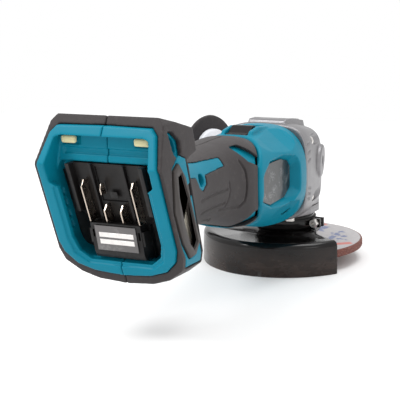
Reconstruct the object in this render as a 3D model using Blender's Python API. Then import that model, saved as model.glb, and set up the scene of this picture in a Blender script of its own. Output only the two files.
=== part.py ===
"""Cordless angle grinder with a slide switch, a 125 mm grinding wheel and an adjustable guard.

All sizes are in millimetres.  Heights are measured up from the plane that the guard's rim stands on,
X runs to the tool's right and Y forward, with the spindle's axis through X = Y = 0.  The stored
origin is the centre of the spindle's end face, so every point is moved down by ORIGIN_HEIGHT.
"""
import math

import bmesh
import bpy
from mathutils import Matrix, Vector

MM = 0.001
GAP = 0.3                    # left between pieces that touch or fit into each other
ORIGIN_HEIGHT = 3.0          # spindle's end face above the guard's rim

# Main axes
MOTOR_Z = 77.0               # motor axis, along Y
SEAM_Y = -45.0               # gear housing meets motor housing
COLLAR_Y = -99.0             # motor housing meets handle, at top and bottom
COLLAR_SWEEP = 24.0          # the same seam lies this much further back at the sides

# Wheel, guard and spindle
WHEEL_RADIUS = 62.5
WHEEL_THICKNESS = 6.0
WHEEL_BOTTOM = 11.0
WHEEL_DISH = 4.6
WHEEL_BORE = 11.1
GUARD_RADIUS = 68.6
GUARD_SHEET = 2.2
GUARD_TOP = 26.6
GUARD_TURN = -122.0          # middle of the guarded half, degrees from +X
NECK_RADIUS = 21.0
NECK_BOTTOM = 27.6
BOX_BOTTOM = 40.0            # bearing box flange
BOX_TOP = 46.0
BOX_HALF = 25.4              # half width between the flange's two flat sides
BOX_LUG = (17.6, 29.6)       # corner of the lug round each flange screw
BOX_SCREW = (13.6, 24.6)
CAVITY_RADIUS = 23.8         # round the ring gear
HEAD_SCREW_Y = -26.0
EAR_TURN = -6.0              # clamp bolt ears, degrees from +X
EAR_REACH = 33.0
CLAMP_LOW = 28.9
CLAMP_HIGH = 35.9
CLAMP_SPLIT = 1.4
SPINDLE_THREAD = 6.8
SPINDLE_TOP = 95.0

# Bevel gears, pitch cones meet on the spindle axis at MOTOR_Z
RING_TEETH = 35
PINION_TEETH = 10
PINION_PITCH = 6.4
RING_PITCH = PINION_PITCH * RING_TEETH / PINION_TEETH
TOOTH_LENGTH = 6.6
ADDENDUM = 0.68
DEDENDUM = 1.11

# Shaft lock: pin and button in front of the spindle
LOCK_REACH = 12.2            # from the spindle's axis
SPRING_LOW = 96.4
BUTTON_LOW = 107.8
BUTTON_HEIGHT = 5.6
LOCK_TRAVEL = 6.0

# Motor
CUP_RADIUS = 26.2
CUP_REAR = -112.0
STATOR_RADIUS = 24.0
STATOR_BORE = 13.2
STATOR_REAR = -96.4
CUP_BACK = -99.4             # the cup is wide up to here, then only a bearing seat
STATOR_FRONT = -63.0
FAN_RADIUS = 29.6

# Slide switch on top of the motor housing
KNOB_HALF = 8.4
KNOB_REAR = -95.5
KNOB_FRONT = -68.0
KNOB_CREST = -82.0
KNOB_SEAT = 113.6
STEM_HALF = 4.0
STEM_REAR = -90.0
STEM_FRONT = -82.0
SWITCH_TRAVEL = 6.0

# Side label, as the ends of its pocket along Y and how far the floor lies from the middle
LABEL_REAR = -117.0
LABEL_FRONT = -63.0
LABEL_FLOOR_REAR = 29.2
LABEL_FLOOR_FRONT = 28.6

# Side grip: its axis leaves the head slightly forwards and downwards
GRIP_SWING = 13.0
GRIP_LIFT = -3.0
GRIP_ROOT = Vector((34.0, 2.6, 82.0))
BOSS_RADIUS = 13.5
BOSS_FACE = -2.5             # boss face, along the grip's axis from GRIP_ROOT
FLANGE_AT = 40.5
FLANGE_RADIUS = 34.0
SIDE_GRIP_LENGTH = 104.0

# Walls
WALL = 2.6
RUBBER = 2.3

# Handle, motor housing and head stations: y, half width, bottom, top; and how square each section is
HANDLE = ((-99, 32.6, 49.4, 114.6), (-112, 32.3, 49.8, 116.6), (-128, 30.6, 51.6, 117.6),
          (-142, 28.0, 55.5, 117.7), (-158, 26.3, 60.5, 117.2), (-178, 25.8, 64.5, 116.9),
          (-200, 26.6, 65.8, 117.8), (-220, 29.0, 63.5, 120.6), (-240, 34.0, 58.5, 124.0),
          (-262, 37.0, 56.5, 125.0))
HOUSING = ((-45, 37.0, 40.0, 118.0), (-58, 37.6, 40.0, 118.6), (-75, 36.8, 41.6, 118.0),
           (-90, 35.4, 45.2, 116.6), (-106, 34.0, 48.8, 116.2), (-124, 32.0, 51.0, 117.4))
HEAD = ((-44.5, 36.4, 41.0, 117.2), (-33, 35.4, 41.0, 117.0), (-10, 31.6, 41.5, 113.0),
        (8, 27.8, 42.0, 109.0), (20, 22.8, 44.0, 103.5), (28, 14.0, 50.0, 95.0))
HANDLE_SQUARE = 2.5
HOUSING_SQUARE = 2.6
HEAD_SQUARE = 4.2
HANDLE_REAR = -246.0         # where the handle's width at the base is taken
HANDLE_SHARES = [k / 10 for k in range(11)]
HANDLE_STEPS = 12

# Battery base, side view: the rear face leans both ways from a kink
KINK_Y = -295.3
KINK_Z = 124.0
BASE_LEAN = 0.40             # rear face, forward per mm down from the kink
BASE_DEPTH = 36.0
BASE_HALF = 42.0
BASE_BOTTOM = 50.0
BASE_TOP = 147.3
BUMPER = 6.4                 # how far the bumper stands out at top and bottom
BUMPER_SIDE = 2.8
RECESS_HALF = 36.5
RECESS_DEPTH = 21.0
SHALLOW_Y = -279.3           # floor of the shallow part above the recess

# Fittings of the base and handle; outlines are (y, z)
COVER_SLOT = ((-273.0, 116.0), (-268.2, 117.5), (-260.6, 100.5), (-250.4, 74.0), (-254.8, 69.6),
              (-260.0, 74.5), (-265.8, 89.0), (-271.4, 103.0))
COVER_FLOOR = 40.4
COVER_FACE = 45.6
STRIPE = ((-236.0, 117.5), (-200.0, 112.6), (-164.6, 110.4), (-163.8, 104.4), (-195.5, 103.4),
          (-196.5, 97.5), (-203.5, 94.0), (-209.3, 97.3), (-212.5, 104.5), (-232.0, 107.5))
STRAP_HOLE = ((-275.2, 142.6), (-270.5, 141.4), (-266.2, 136.6), (-266.4, 131.8), (-269.8, 129.2),
              (-272.6, 133.0))
GRIP_SCREW = (-203.5, 101.6)
GRIP_SEAT = 15.5
BASE_SCREW = (-256.8, 106.0)
BASE_SEAT = 20.0

# Terminal block; each blade is: name, x, lowest and highest z, depth from the rear plane
BLADES = (("terminal_blade_left", -17.6, 85.2, 113.0, 6.4), ("terminal_blade_right", 17.6, 85.2, 113.0, 6.4),
          ("signal_blade_left", -5.7, 85.2, 97.0, 6.9), ("signal_blade_right", 5.9, 85.2, 97.0, 6.9))
BLOCK_DEPTH = 14.8

COLOURS = {
    "teal": ((0.010, 0.230, 0.330), 0.42, 0.0),
    "rubber": ((0.055, 0.050, 0.052), 0.75, 0.0),
    "black": ((0.015, 0.014, 0.014), 0.45, 0.0),
    "satin_black": ((0.030, 0.026, 0.024), 0.32, 0.6),
    "aluminium": ((0.42, 0.41, 0.42), 0.38, 1.0),
    "steel": ((0.50, 0.49, 0.48), 0.30, 1.0),
    "copper": ((0.60, 0.28, 0.12), 0.35, 1.0),
    "cream": ((0.60, 0.55, 0.32), 0.60, 0.0),
    "abrasive": ((0.20, 0.09, 0.07), 0.90, 0.0),
    "plate": ((0.12, 0.115, 0.12), 0.45, 0.3),
    "light": ((0.62, 0.62, 0.64), 0.40, 0.6),
}


# ---------------------------------------------------------------- mesh helpers

def place(point):
    """A point in millimetres above the rim plane, as a point in metres from the stored origin."""
    return Vector((point[0], point[1], point[2] - ORIGIN_HEIGHT)) * MM


def lerp(a, b, t):
    return a + (b - a) * t


def smooth_station(table, y):
    """Half width, bottom and top at y, on a smooth curve through the table's stations."""
    rows = sorted(table)
    y = min(max(y, rows[0][0]), rows[-1][0])
    index = max(i for i, row in enumerate(rows[:-1]) if row[0] <= y)
    low, high = rows[index], rows[index + 1]
    before = rows[index - 1] if index else low
    after = rows[index + 2] if index + 2 < len(rows) else high
    t = (y - low[0]) / (high[0] - low[0])
    values = []
    for k in (1, 2, 3):
        slope_low = (high[k] - before[k]) / (high[0] - before[0])
        slope_high = (after[k] - low[k]) / (after[0] - low[0])
        span = high[0] - low[0]
        values.append((2 * t**3 - 3 * t**2 + 1) * low[k] + (t**3 - 2 * t**2 + t) * span * slope_low
                      + (3 * t**2 - 2 * t**3) * high[k] + (t**3 - t**2) * span * slope_high)
    return values


def oval_point(table, y, angle, power, inset):
    """A point of the table's rounded-square section at y, moved in by inset."""
    half, bottom, top = smooth_station(table, y)
    wide, high = half - inset, (top - bottom) / 2 - inset
    cos, sin = math.cos(angle), math.sin(angle)
    x = math.copysign(abs(cos) ** (2 / power), cos) * wide
    z = (top + bottom) / 2 + math.copysign(abs(sin) ** (2 / power), sin) * high
    return Vector((x, y, z))


def rounded(points, radius, steps=3):
    """The outline with each corner replaced by an arc; radius is one value or one per corner."""
    count = len(points)
    radii = radius if isinstance(radius, (list, tuple)) else [radius] * count
    outline = []
    for i, corner in enumerate(points):
        corner = Vector(corner)
        to_last = (Vector(points[i - 1]) - corner)
        to_next = (Vector(points[(i + 1) % count]) - corner)
        if radii[i] <= 0:
            outline.append(corner)
            continue
        half_angle = to_last.angle(to_next) / 2
        reach = min(radii[i] / math.tan(half_angle), 0.48 * to_last.length, 0.48 * to_next.length)
        start, end = corner + to_last.normalized() * reach, corner + to_next.normalized() * reach
        for k in range(steps + 1):
            t = k / steps
            outline.append(start * (1 - t) ** 2 + corner * 2 * t * (1 - t) + end * t ** 2)
    return outline


def grid_mesh(rings, wrap_rings, cap):
    """A mesh through equal rings of points: each ring is closed, and the rings are joined in order."""
    bm = bmesh.new()
    rows = [[bm.verts.new(place(p)) for p in ring] for ring in rings]
    count = len(rings[0])
    pairs = list(zip(rows, rows[1:])) + ([(rows[-1], rows[0])] if wrap_rings else [])
    for low, high in pairs:
        for i in range(count):
            j = (i + 1) % count
            bm.faces.new((low[i], low[j], high[j], high[i]))
    if cap:
        bm.faces.new(rows[0][::-1])
        bm.faces.new(rows[-1])
    return bm


def axis_frame(origin, axis):
    """A matrix whose Z runs along axis."""
    axis = Vector(axis).normalized()
    side = Vector((0, 0, 1)) if abs(axis.z) < 0.9 else Vector((0, 1, 0))
    x = side.cross(axis).normalized()
    y = axis.cross(x)
    matrix = Matrix((x, y, axis)).transposed().to_4x4()
    matrix.translation = Vector(origin)
    return matrix


def turned_mesh(profile, origin, axis, steps, lift=None):
    """A turned body: profile is (radius, distance along axis) points, open at the axis or a ring.

    lift, when given, returns for each step its angle and a function that moves a profile point.
    """
    frame = axis_frame(origin, axis)
    solid = profile[0][0] == 0
    rings = []
    for index, (radius, along) in enumerate(profile):
        if radius == 0:
            continue
        ring = []
        for k in range(steps):
            angle, reach, height = 2 * math.pi * k / steps, radius, along
            if lift is not None:
                angle, move = lift(k)
                reach, height = move(index, radius, along)
            ring.append(frame @ Vector((reach * math.cos(angle), reach * math.sin(angle), height)))
        rings.append(ring)
    return grid_mesh(rings, not solid, solid)


def finish_object(name, bm, colour, sharp=35.0):
    """Turn a mesh into the named object with its own material."""
    bmesh.ops.connect_verts_nonplanar(bm, angle_limit=0.0005, faces=bm.faces)
    bmesh.ops.recalc_face_normals(bm, faces=bm.faces)
    mesh = bpy.data.meshes.new(name)
    bm.to_mesh(mesh)
    bm.free()
    obj = bpy.data.objects.new(name, mesh)
    bpy.context.scene.collection.objects.link(obj)
    mesh.shade_smooth()
    mesh.set_sharp_from_angle(angle=math.radians(sharp))
    if colour is not None:
        base, roughness, metallic = COLOURS[colour]
        material = bpy.data.materials.new(name + "_finish")
        material.use_nodes = True
        shader = material.node_tree.nodes["Principled BSDF"]
        shader.inputs["Base Color"].default_value = (*base, 1.0)
        shader.inputs["Roughness"].default_value = roughness
        shader.inputs["Metallic"].default_value = metallic
        mesh.materials.append(material)
    return obj


def move_origin(obj, point):
    """Put the object's origin at point without moving its shape."""
    target = place(point)
    obj.data.transform(Matrix.Translation(-target))
    obj.location = target
    return obj


def as_tool(obj):
    """Mark an object as a cutter or a shape to join, which the finished model leaves out."""
    obj.hide_render = True
    obj.display_type = "WIRE"
    return obj


def combine(obj, tool, operation):
    modifier = obj.modifiers.new(operation.lower(), "BOOLEAN")
    modifier.operation = operation
    modifier.solver = "EXACT"
    modifier.object = as_tool(tool)
    return obj


def cut(obj, *tools):
    for tool in tools:
        combine(obj, tool, "DIFFERENCE")
    return obj


def join(obj, *tools):
    for tool in tools:
        combine(obj, tool, "UNION")
    return obj


def keep_inside(obj, tool):
    return combine(obj, tool, "INTERSECT")


def turned(name, profile, origin=(0, 0, 0), axis=(0, 0, 1), colour=None, steps=40, lift=None):
    return finish_object(name, turned_mesh(profile, origin, axis, steps, lift), colour)


def rod(name, radius, start, end, colour=None, steps=24):
    """A plain round bar between two points."""
    start, end = Vector(start), Vector(end)
    length = (end - start).length
    profile = [(0, 0), (radius, 0), (radius, length), (0, length)]
    return turned(name, profile, start, end - start, colour, steps)


def prism(name, outline, low, high, along, colour=None):
    """An outline swept along X, Y or Z; outline points are the two other coordinates in order."""
    def at(point, value):
        if along == "x":
            return (value, point[0], point[1])
        if along == "y":
            return (point[0], value, point[1])
        return (point[0], point[1], value)
    rings = [[at(point, value) for point in outline] for value in (low, high)]
    return finish_object(name, grid_mesh(rings, False, True), colour)


def block(name, low, high, colour=None, corner=0.0):
    """A box between two corners, its upright edges rounded by corner."""
    outline = [(low[0], low[1]), (high[0], low[1]), (high[0], high[1]), (low[0], high[1])]
    if corner:
        outline = rounded(outline, corner)
    return prism(name, outline, low[2], high[2], "z", colour)


def bevelled(obj, width, segments=1, angle=40.0):
    modifier = obj.modifiers.new("soft_edges", "BEVEL")
    modifier.width = width * MM
    modifier.segments = segments
    modifier.limit_method = "ANGLE"
    modifier.angle_limit = math.radians(angle)
    modifier.use_clamp_overlap = True
    return obj


def bearing(name, bore, outside, start, width, origin, axis):
    """A shielded ball bearing as one ring, its shield set back between the races."""
    race = (outside - bore) * 0.24
    dip = 0.5
    end = start + width
    profile = [(bore, start), (bore + race, start + dip), (outside - race, start + dip), (outside, start),
               (outside, end), (outside - race, end - dip), (bore + race, end - dip), (bore, end)]
    return turned(name, profile, origin, axis, "steel", 16)


def cap_screw(name, head_radius, head_height, shank_radius, shank_length, origin, axis):
    """A screw with a socket in its head; its seat is at origin and its shank runs along axis."""
    socket = head_radius * 0.5
    profile = [(0, -head_height * 0.4), (socket, -head_height * 0.4), (socket, -head_height),
               (head_radius - 0.5, -head_height), (head_radius, 0.5 - head_height),
               (head_radius, 0), (shank_radius, 0), (shank_radius, shank_length), (0, shank_length)]
    return turned(name, profile, origin, axis, "steel", 10)


# ---------------------------------------------------------------- wheel end

def make_spindle():
    thread, seat, shoulder = SPINDLE_THREAD, 7.4, 9.5
    profile = [(0, ORIGIN_HEIGHT), (thread - 0.8, ORIGIN_HEIGHT), (thread, ORIGIN_HEIGHT + 0.8),
               (thread, 21.4), (8.4, 21.4), (8.4, 29.7), (seat, 29.7), (seat, 41.4),
               (shoulder, 41.4), (shoulder, 56.7), (6.9, 56.7), (6.9, 68.0), (4.9, 68.0),
               (4.9, SPINDLE_TOP - 0.6), (4.3, SPINDLE_TOP), (0, SPINDLE_TOP)]
    turned("spindle", profile, colour="steel", steps=20)


def ring_gear_tooth(step):
    """Angle of each of a tooth's four edges, and the lift of its points; a gap faces the pinion."""
    tooth, edge = divmod(step, 4)
    pitch = 2 * math.pi / RING_TEETH
    centre = -math.pi / 2 + (tooth + 0.5) * pitch
    angle = centre + math.radians((-2.2, -1.2, 1.2, 2.2)[edge])
    raised = edge in (1, 2)

    def move(index, radius, along):
        if raised and index in (3, 4):
            shrink = radius / RING_PITCH
            along += (ADDENDUM + DEDENDUM) * min(shrink, 1.0)
        return radius, along
    return angle, move


def make_ring_gear():
    inner = RING_PITCH - TOOTH_LENGTH
    outer_root = MOTOR_Z - PINION_PITCH - DEDENDUM
    inner_scale = inner / RING_PITCH
    inner_root = MOTOR_Z - (PINION_PITCH + DEDENDUM) * inner_scale
    bore = 6.9 + 0.2
    profile = [(bore, 57.0), (bore, 67.7), (inner - 0.6, 67.7), (inner, inner_root),
               (RING_PITCH + 0.4, outer_root), (RING_PITCH + 0.4, 60.5)]
    gear = turned("ring_gear", profile, colour="steel", steps=RING_TEETH * 4, lift=ring_gear_tooth)
    for k in range(4):
        angle = math.radians(90 * k)
        x, y = LOCK_REACH * math.cos(angle), LOCK_REACH * math.sin(angle)
        cut(gear, rod(f"lock_hole_{k}", 2.8, (x, y, 52), (x, y, 76), steps=10))


def make_inner_flange():
    top = NECK_BOTTOM - 0.8
    low = WHEEL_BOTTOM + WHEEL_DISH + WHEEL_THICKNESS + GAP
    profile = [(8.4 + GAP, low), (20.0, low), (20.0, low + 2.4), (15.0, top), (8.4 + GAP, top)]
    turned("inner_flange", profile, colour="steel", steps=32)


def make_wheel():
    """Depressed-centre grinding wheel: the middle sits WHEEL_DISH higher than the rim."""
    hub, slope = 23.0, 28.5
    low, high = WHEEL_BOTTOM, WHEEL_BOTTOM + WHEEL_THICKNESS
    edge = 0.5
    profile = [(WHEEL_BORE, low + WHEEL_DISH), (hub, low + WHEEL_DISH), (slope, low),
               (WHEEL_RADIUS - edge, low), (WHEEL_RADIUS, low + edge), (WHEEL_RADIUS, high - edge),
               (WHEEL_RADIUS - edge, high), (slope, high), (hub, high + WHEEL_DISH),
               (WHEEL_BORE, high + WHEEL_DISH)]
    turned("grinding_wheel", profile, colour="abrasive", steps=48)


def make_lock_nut():
    top = WHEEL_BOTTOM + WHEEL_DISH - GAP
    bore = SPINDLE_THREAD + GAP
    pilot = WHEEL_BORE - GAP
    profile = [(bore, top - 5.6), (15.0, top - 5.6), (16.5, top - 4.1), (16.5, top), (pilot, top),
               (pilot, top + 3.2), (bore, top + 3.2)]
    nut = turned("lock_nut", profile, colour="steel", steps=28)
    for k in range(2):
        angle = math.radians(33 + 180 * k)
        x, y = 12.0 * math.cos(angle), 12.0 * math.sin(angle)
        cut(nut, rod(f"pin_hole_{k}", 2.0, (x, y, top - 9), (x, y, top - 2.2), steps=10))


def guard_outline():
    """Plan of the guard's deck: the guarded half, narrowing to a ring round the neck in front."""
    ring, outer = NECK_RADIUS + 7.0, GUARD_RADIUS - 5.0
    middle = math.radians(GUARD_TURN)
    points = []
    shy = math.radians(0.6)
    for k in range(21):
        angle = middle + (math.pi / 2 - shy) * (k / 10 - 1)
        points.append((outer * math.cos(angle), outer * math.sin(angle)))
    end = middle + math.pi / 2
    for radius, turn in ((50.0, 0.0), (40.0, 2.0), (34.0, 9.0), (30.0, 19.0)):
        angle = end + math.radians(turn)
        points.append((radius * math.cos(angle), radius * math.sin(angle)))
    for k in range(9):
        angle = end + math.radians(34) + math.radians(112) * k / 8
        points.append((ring * math.cos(angle), ring * math.sin(angle)))
    for radius, turn in ((30.0, 19.0), (34.0, 9.0), (40.0, 2.0), (50.0, 0.0)):
        angle = middle - math.pi / 2 - math.radians(turn)
        points.append((radius * math.cos(angle), radius * math.sin(angle)))
    return points


def make_guard():
    sheet, top, corner = GUARD_SHEET, GUARD_TOP, 4.5
    outer = GUARD_RADIUS
    profile = [(outer - sheet, 0.0), (outer, 0.0), (outer, top - corner)]
    for k in range(1, 5):
        angle = math.pi / 2 * k / 4
        profile.append((outer - corner + corner * math.cos(angle), top - corner + corner * math.sin(angle)))
    profile += [(outer - corner - 2.0, top), (outer - corner - 2.0, top - sheet)]
    inner = corner - sheet
    for k in range(3):
        angle = math.pi / 2 * (1 - k / 2)
        profile.append((outer - corner + inner * math.cos(angle), top - corner + inner * math.sin(angle)))
    rings = []
    for k in range(31):
        angle = math.radians(GUARD_TURN) - math.pi / 2 + math.pi * k / 30
        rings.append([(r * math.cos(angle), r * math.sin(angle), z) for r, z in profile])
    guard = finish_object("wheel_guard", grid_mesh(rings, False, True), "satin_black")
    deck = prism("guard_deck", guard_outline(), top - sheet + 0.1, top - 0.1, "z")
    upstand = turned("guard_upstand", [(NECK_RADIUS + GAP, top - sheet + 0.3),
                                       (NECK_RADIUS + 4.0, top - sheet + 0.3),
                                       (NECK_RADIUS + 4.0, top - 0.3), (NECK_RADIUS + 1.9, top + 1.5),
                                       (NECK_RADIUS + 1.9, 38.0), (NECK_RADIUS + GAP, 38.0)], steps=30)
    join(guard, deck)
    cut(guard, rod("guard_bore", NECK_RADIUS + 2.5, (0, 0, top - 8), (0, 0, top + 8), steps=33))
    join(guard, upstand)
    angle = math.radians(GUARD_TURN + 42)
    hole = Vector((41.0 * math.cos(angle), 41.0 * math.sin(angle), 0))
    cut(guard, rod("guard_rivet_hole", 2.6, hole + Vector((0, 0, top - 6)), hole + Vector((0, 0, top + 6)),
                   steps=14))


def ear_point(radial, across, height):
    angle = math.radians(EAR_TURN)
    return Vector((radial * math.cos(angle) - across * math.sin(angle),
                   radial * math.sin(angle) + across * math.cos(angle), height))


def make_guard_clamp():
    """Split clamp band round the guard's upstand, pulled together by a bolt through two ears."""
    inner = NECK_RADIUS + 1.9 + GAP
    outer = inner + 1.8
    ear = CLAMP_SPLIT + 2.8
    start_out, start_in = math.asin(ear / outer), math.asin(CLAMP_SPLIT / inner)
    points = [(EAR_REACH, CLAMP_SPLIT), (EAR_REACH, ear), (outer * math.cos(start_out), ear)]
    for k in range(1, 28):
        angle = start_out + (2 * math.pi - 2 * start_out) * k / 28
        points.append((outer * math.cos(angle), outer * math.sin(angle)))
    points += [(outer * math.cos(start_out), -ear), (EAR_REACH, -ear), (EAR_REACH, -CLAMP_SPLIT)]
    for k in range(29):
        angle = 2 * math.pi - start_in - (2 * math.pi - 2 * start_in) * k / 28
        points.append((inner * math.cos(angle), inner * math.sin(angle)))
    outline = [ear_point(r, a, 0)[:2] for r, a in points]
    band = prism("guard_clamp_band", outline, CLAMP_LOW, CLAMP_HIGH, "z", "satin_black")
    middle = (CLAMP_LOW + CLAMP_HIGH) / 2
    bolt_at = EAR_REACH - 4.2
    cut(band, rod("ear_hole", 2.5, ear_point(bolt_at, -ear - 1, middle),
                  ear_point(bolt_at, ear + 1, middle), steps=12))
    axis = ear_point(0, 1, 0)
    cap_screw("guard_clamp_screw", 3.6, 3.6, 2.2, 2 * ear + 4.0, ear_point(bolt_at, -ear - GAP, middle),
              axis)


# ---------------------------------------------------------------- gear head

def make_bearing_box():
    """Lower cover of the gear head with the neck that carries the guard and the lower bearing."""
    box = prism("bearing_box", box_outline(), BOX_BOTTOM, BOX_TOP - GAP, "z", "aluminium")
    neck = turned("box_neck", [(0, NECK_BOTTOM), (NECK_RADIUS - 0.8, NECK_BOTTOM),
                               (NECK_RADIUS, NECK_BOTTOM + 0.8), (NECK_RADIUS, BOX_BOTTOM + 1.5),
                               (0, BOX_BOTTOM + 1.5)], steps=36)
    join(box, neck)
    bore = turned("box_bore", [(0, NECK_BOTTOM - 2), (12.0, NECK_BOTTOM - 2), (12.0, 29.6), (17.5, 29.6),
                               (17.5, BOX_TOP + 4), (0, BOX_TOP + 4)], steps=34)
    cut(box, bore)
    for k, (x, y) in enumerate(box_screw_places()):
        cut(box, rod(f"box_hole_{k}", 2.4, (x, y, BOX_BOTTOM - 3), (x, y, BOX_TOP + 3), steps=10))
        cap_screw(f"bearing_box_screw_{k + 1}", 3.9, 3.4, 2.0, 9.5, (x, y, BOX_BOTTOM - GAP), (0, 0, 1))
    bearing("spindle_bearing_lower", 7.6, 17.2, 30.0, 11.0, (0, 0, 0), (0, 0, 1))


def box_outline():
    """Plan of the bearing box: round the neck, with a lug at each screw."""
    x, y = BOX_LUG
    right = [(x, -y), (BOX_HALF, -9.0), (BOX_HALF, 9.0), (x, y)]
    return rounded(right + [(-px, -py) for px, py in right], 6.0, 4)


def box_screw_places():
    return [(x, y) for x in (-BOX_SCREW[0], BOX_SCREW[0]) for y in (-BOX_SCREW[1], BOX_SCREW[1])]


def grip_axis(side):
    """Unit vector of the side grip's axis on the right (1) or the left (-1)."""
    swing, lift = math.radians(GRIP_SWING), math.radians(GRIP_LIFT)
    return Vector((side * math.cos(swing) * math.cos(lift), math.sin(swing) * math.cos(lift),
                   math.sin(lift)))


def grip_point(side, along):
    root = Vector((side * GRIP_ROOT.x, GRIP_ROOT.y, GRIP_ROOT.z))
    return root + grip_axis(side) * along


def head_ring(y, inset, steps):
    return [oval_point(HEAD, y, 2 * math.pi * k / steps, HEAD_SQUARE, inset) for k in range(steps)]


def make_gear_housing():
    steps = 32
    stations = [-44.7, -36, -24, -12, -2, 8, 16, 23, 28]
    rings = [head_ring(y, 0.0, steps) for y in stations]
    rings.append([p + Vector((0, 2.5, 0)) for p in head_ring(28, 3.4, steps)])
    housing = finish_object("gear_housing", grid_mesh(rings, False, True), "aluminium")
    plate = prism("head_top_plate", [(-38.5, 106.0), (-38.5, 118.8), (-36.5, 120.0), (-27.0, 119.8),
                                     (0.0, 115.2), (4.0, 106.0)], -15.8, 15.8, "x")
    skirt = prism("head_skirt", box_outline(), BOX_TOP - 4, BOX_TOP + 7.5, "z")
    join(housing, plate, skirt)
    for side in (-1, 1):
        face = grip_point(side, BOSS_FACE)
        boss = turned(f"boss_{side + 1}", [(0, -22), (BOSS_RADIUS, -22), (BOSS_RADIUS, -1.2),
                                           (BOSS_RADIUS - 1.2, 0), (0, 0)], face, grip_axis(side), steps=8)
        join(housing, boss)
        cut(housing, rod(f"boss_facing_{side + 1}", BOSS_RADIUS + 3.5, face, face + grip_axis(side) * 30,
                         steps=8))
    under = block("head_under_cut", (-60, -44.0, 20), (60, 60, BOX_TOP))
    cavity = turned("gear_cavity", [(0, 30), (CAVITY_RADIUS, 30), (CAVITY_RADIUS, 74.5), (8.2, 74.5), (8.2, 95.6),
                                     (0, 95.6)], steps=34)
    pinion_space = turned("pinion_space", [(0, -50), (14.2, -50), (14.2, -35.0), (9.8, -35.0),
                                           (9.8, 1.7), (0, 1.7)], (0, 0, MOTOR_Z), (0, 1, 0), steps=26)
    cut(housing, under, cavity, pinion_space)
    x, y = shaft_lock_place()
    ledge, pocket_floor = SPRING_LOW - GAP, BUTTON_LOW - LOCK_TRAVEL - 0.4
    lock = turned("lock_space", [(0, 70), (2.95, 70), (2.95, ledge), (5.2, ledge), (5.2, pocket_floor),
                                 (7.7, pocket_floor), (7.7, 125.0), (0, 125.0)], (x, y, 0), steps=18)
    cut(housing, lock)
    for side in (-1, 1):
        cut(housing, rod(f"grip_hole_{side + 1}", 4.3, grip_point(side, BOSS_FACE - 9.5),
                         grip_point(side, BOSS_FACE + 6), steps=16))
    for k, (x, y) in enumerate(box_screw_places()):
        cut(housing, rod(f"box_thread_{k}", 2.3, (x, y, BOX_TOP - 4), (x, y, BOX_TOP + 4.2), steps=10))
    for k, (x, z) in enumerate(head_screw_places()):
        pocket = turned(f"head_screw_pocket_{k}", [(0, -60), (2.5, -60), (2.5, HEAD_SCREW_Y),
                                                   (4.5, HEAD_SCREW_Y), (4.5, 60), (0, 60)],
                        (x, 0, z), (0, 1, 0), steps=12)
        cut(housing, pocket)
        cap_screw(f"head_screw_{k + 1}", 4.2, 4.0, 2.2, 26.0, (x, HEAD_SCREW_Y + GAP, z), (0, -1, 0))
    bearing("spindle_bearing_upper", 5.15, 7.9, 84.5, 9.0, (0, 0, 0), (0, 0, 1))
    bearing("rotor_bearing_front", 5.1, 13.9, -43.6, 8.0, (0, 0, MOTOR_Z), (0, 1, 0))


def head_screw_places():
    return [(x, z) for x in (-29.0, 29.0) for z in (57.5, 102.0)]


def shaft_lock_place():
    return 0.0, LOCK_REACH


def make_shaft_lock():
    x, y = shaft_lock_place()
    low = BUTTON_LOW
    profile = [(0, 72.6), (1.9, 72.6), (2.5, 73.2), (2.5, low), (7.3, low),
               (7.3, low + BUTTON_HEIGHT - 1.0), (6.3, low + BUTTON_HEIGHT), (0, low + BUTTON_HEIGHT)]
    turned("shaft_lock_pin", profile, (x, y, 0), colour="black", steps=20)
    turns, wire, mean, count = 4.5, 0.45, 4.1, 54
    low, high = SPRING_LOW + wire, BUTTON_LOW - GAP - wire
    rings = []
    for k in range(count + 1):
        t = k / count
        angle = 2 * math.pi * turns * t
        centre = Vector((x + mean * math.cos(angle), y + mean * math.sin(angle), lerp(low, high, t)))
        out = Vector((math.cos(angle), math.sin(angle), 0))
        ring = []
        for j in range(4):
            around = math.pi * (j + 0.5) / 2
            ring.append(centre + (out * math.cos(around) + Vector((0, 0, math.sin(around)))) * wire)
        rings.append(ring)
    finish_object("shaft_lock_spring", grid_mesh(rings, False, True), "steel")


# ---------------------------------------------------------------- motor

def housing_ring(share, inset, steps):
    """Ring of the motor housing between the front seam (0) and the collar (1)."""
    ring = []
    for k in range(steps):
        angle = 2 * math.pi * k / steps
        back = COLLAR_Y - COLLAR_SWEEP * math.cos(angle) ** 2
        y = lerp(SEAM_Y, back, share)
        ring.append(oval_point(HOUSING, y, angle, HOUSING_SQUARE, inset))
    return ring


def housing_section(y, inset, steps):
    """Flat ring of the motor housing's section at y, moved in by inset."""
    return [oval_point(HOUSING, y, 2 * math.pi * k / steps, HOUSING_SQUARE, inset) for k in range(steps)]


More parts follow.
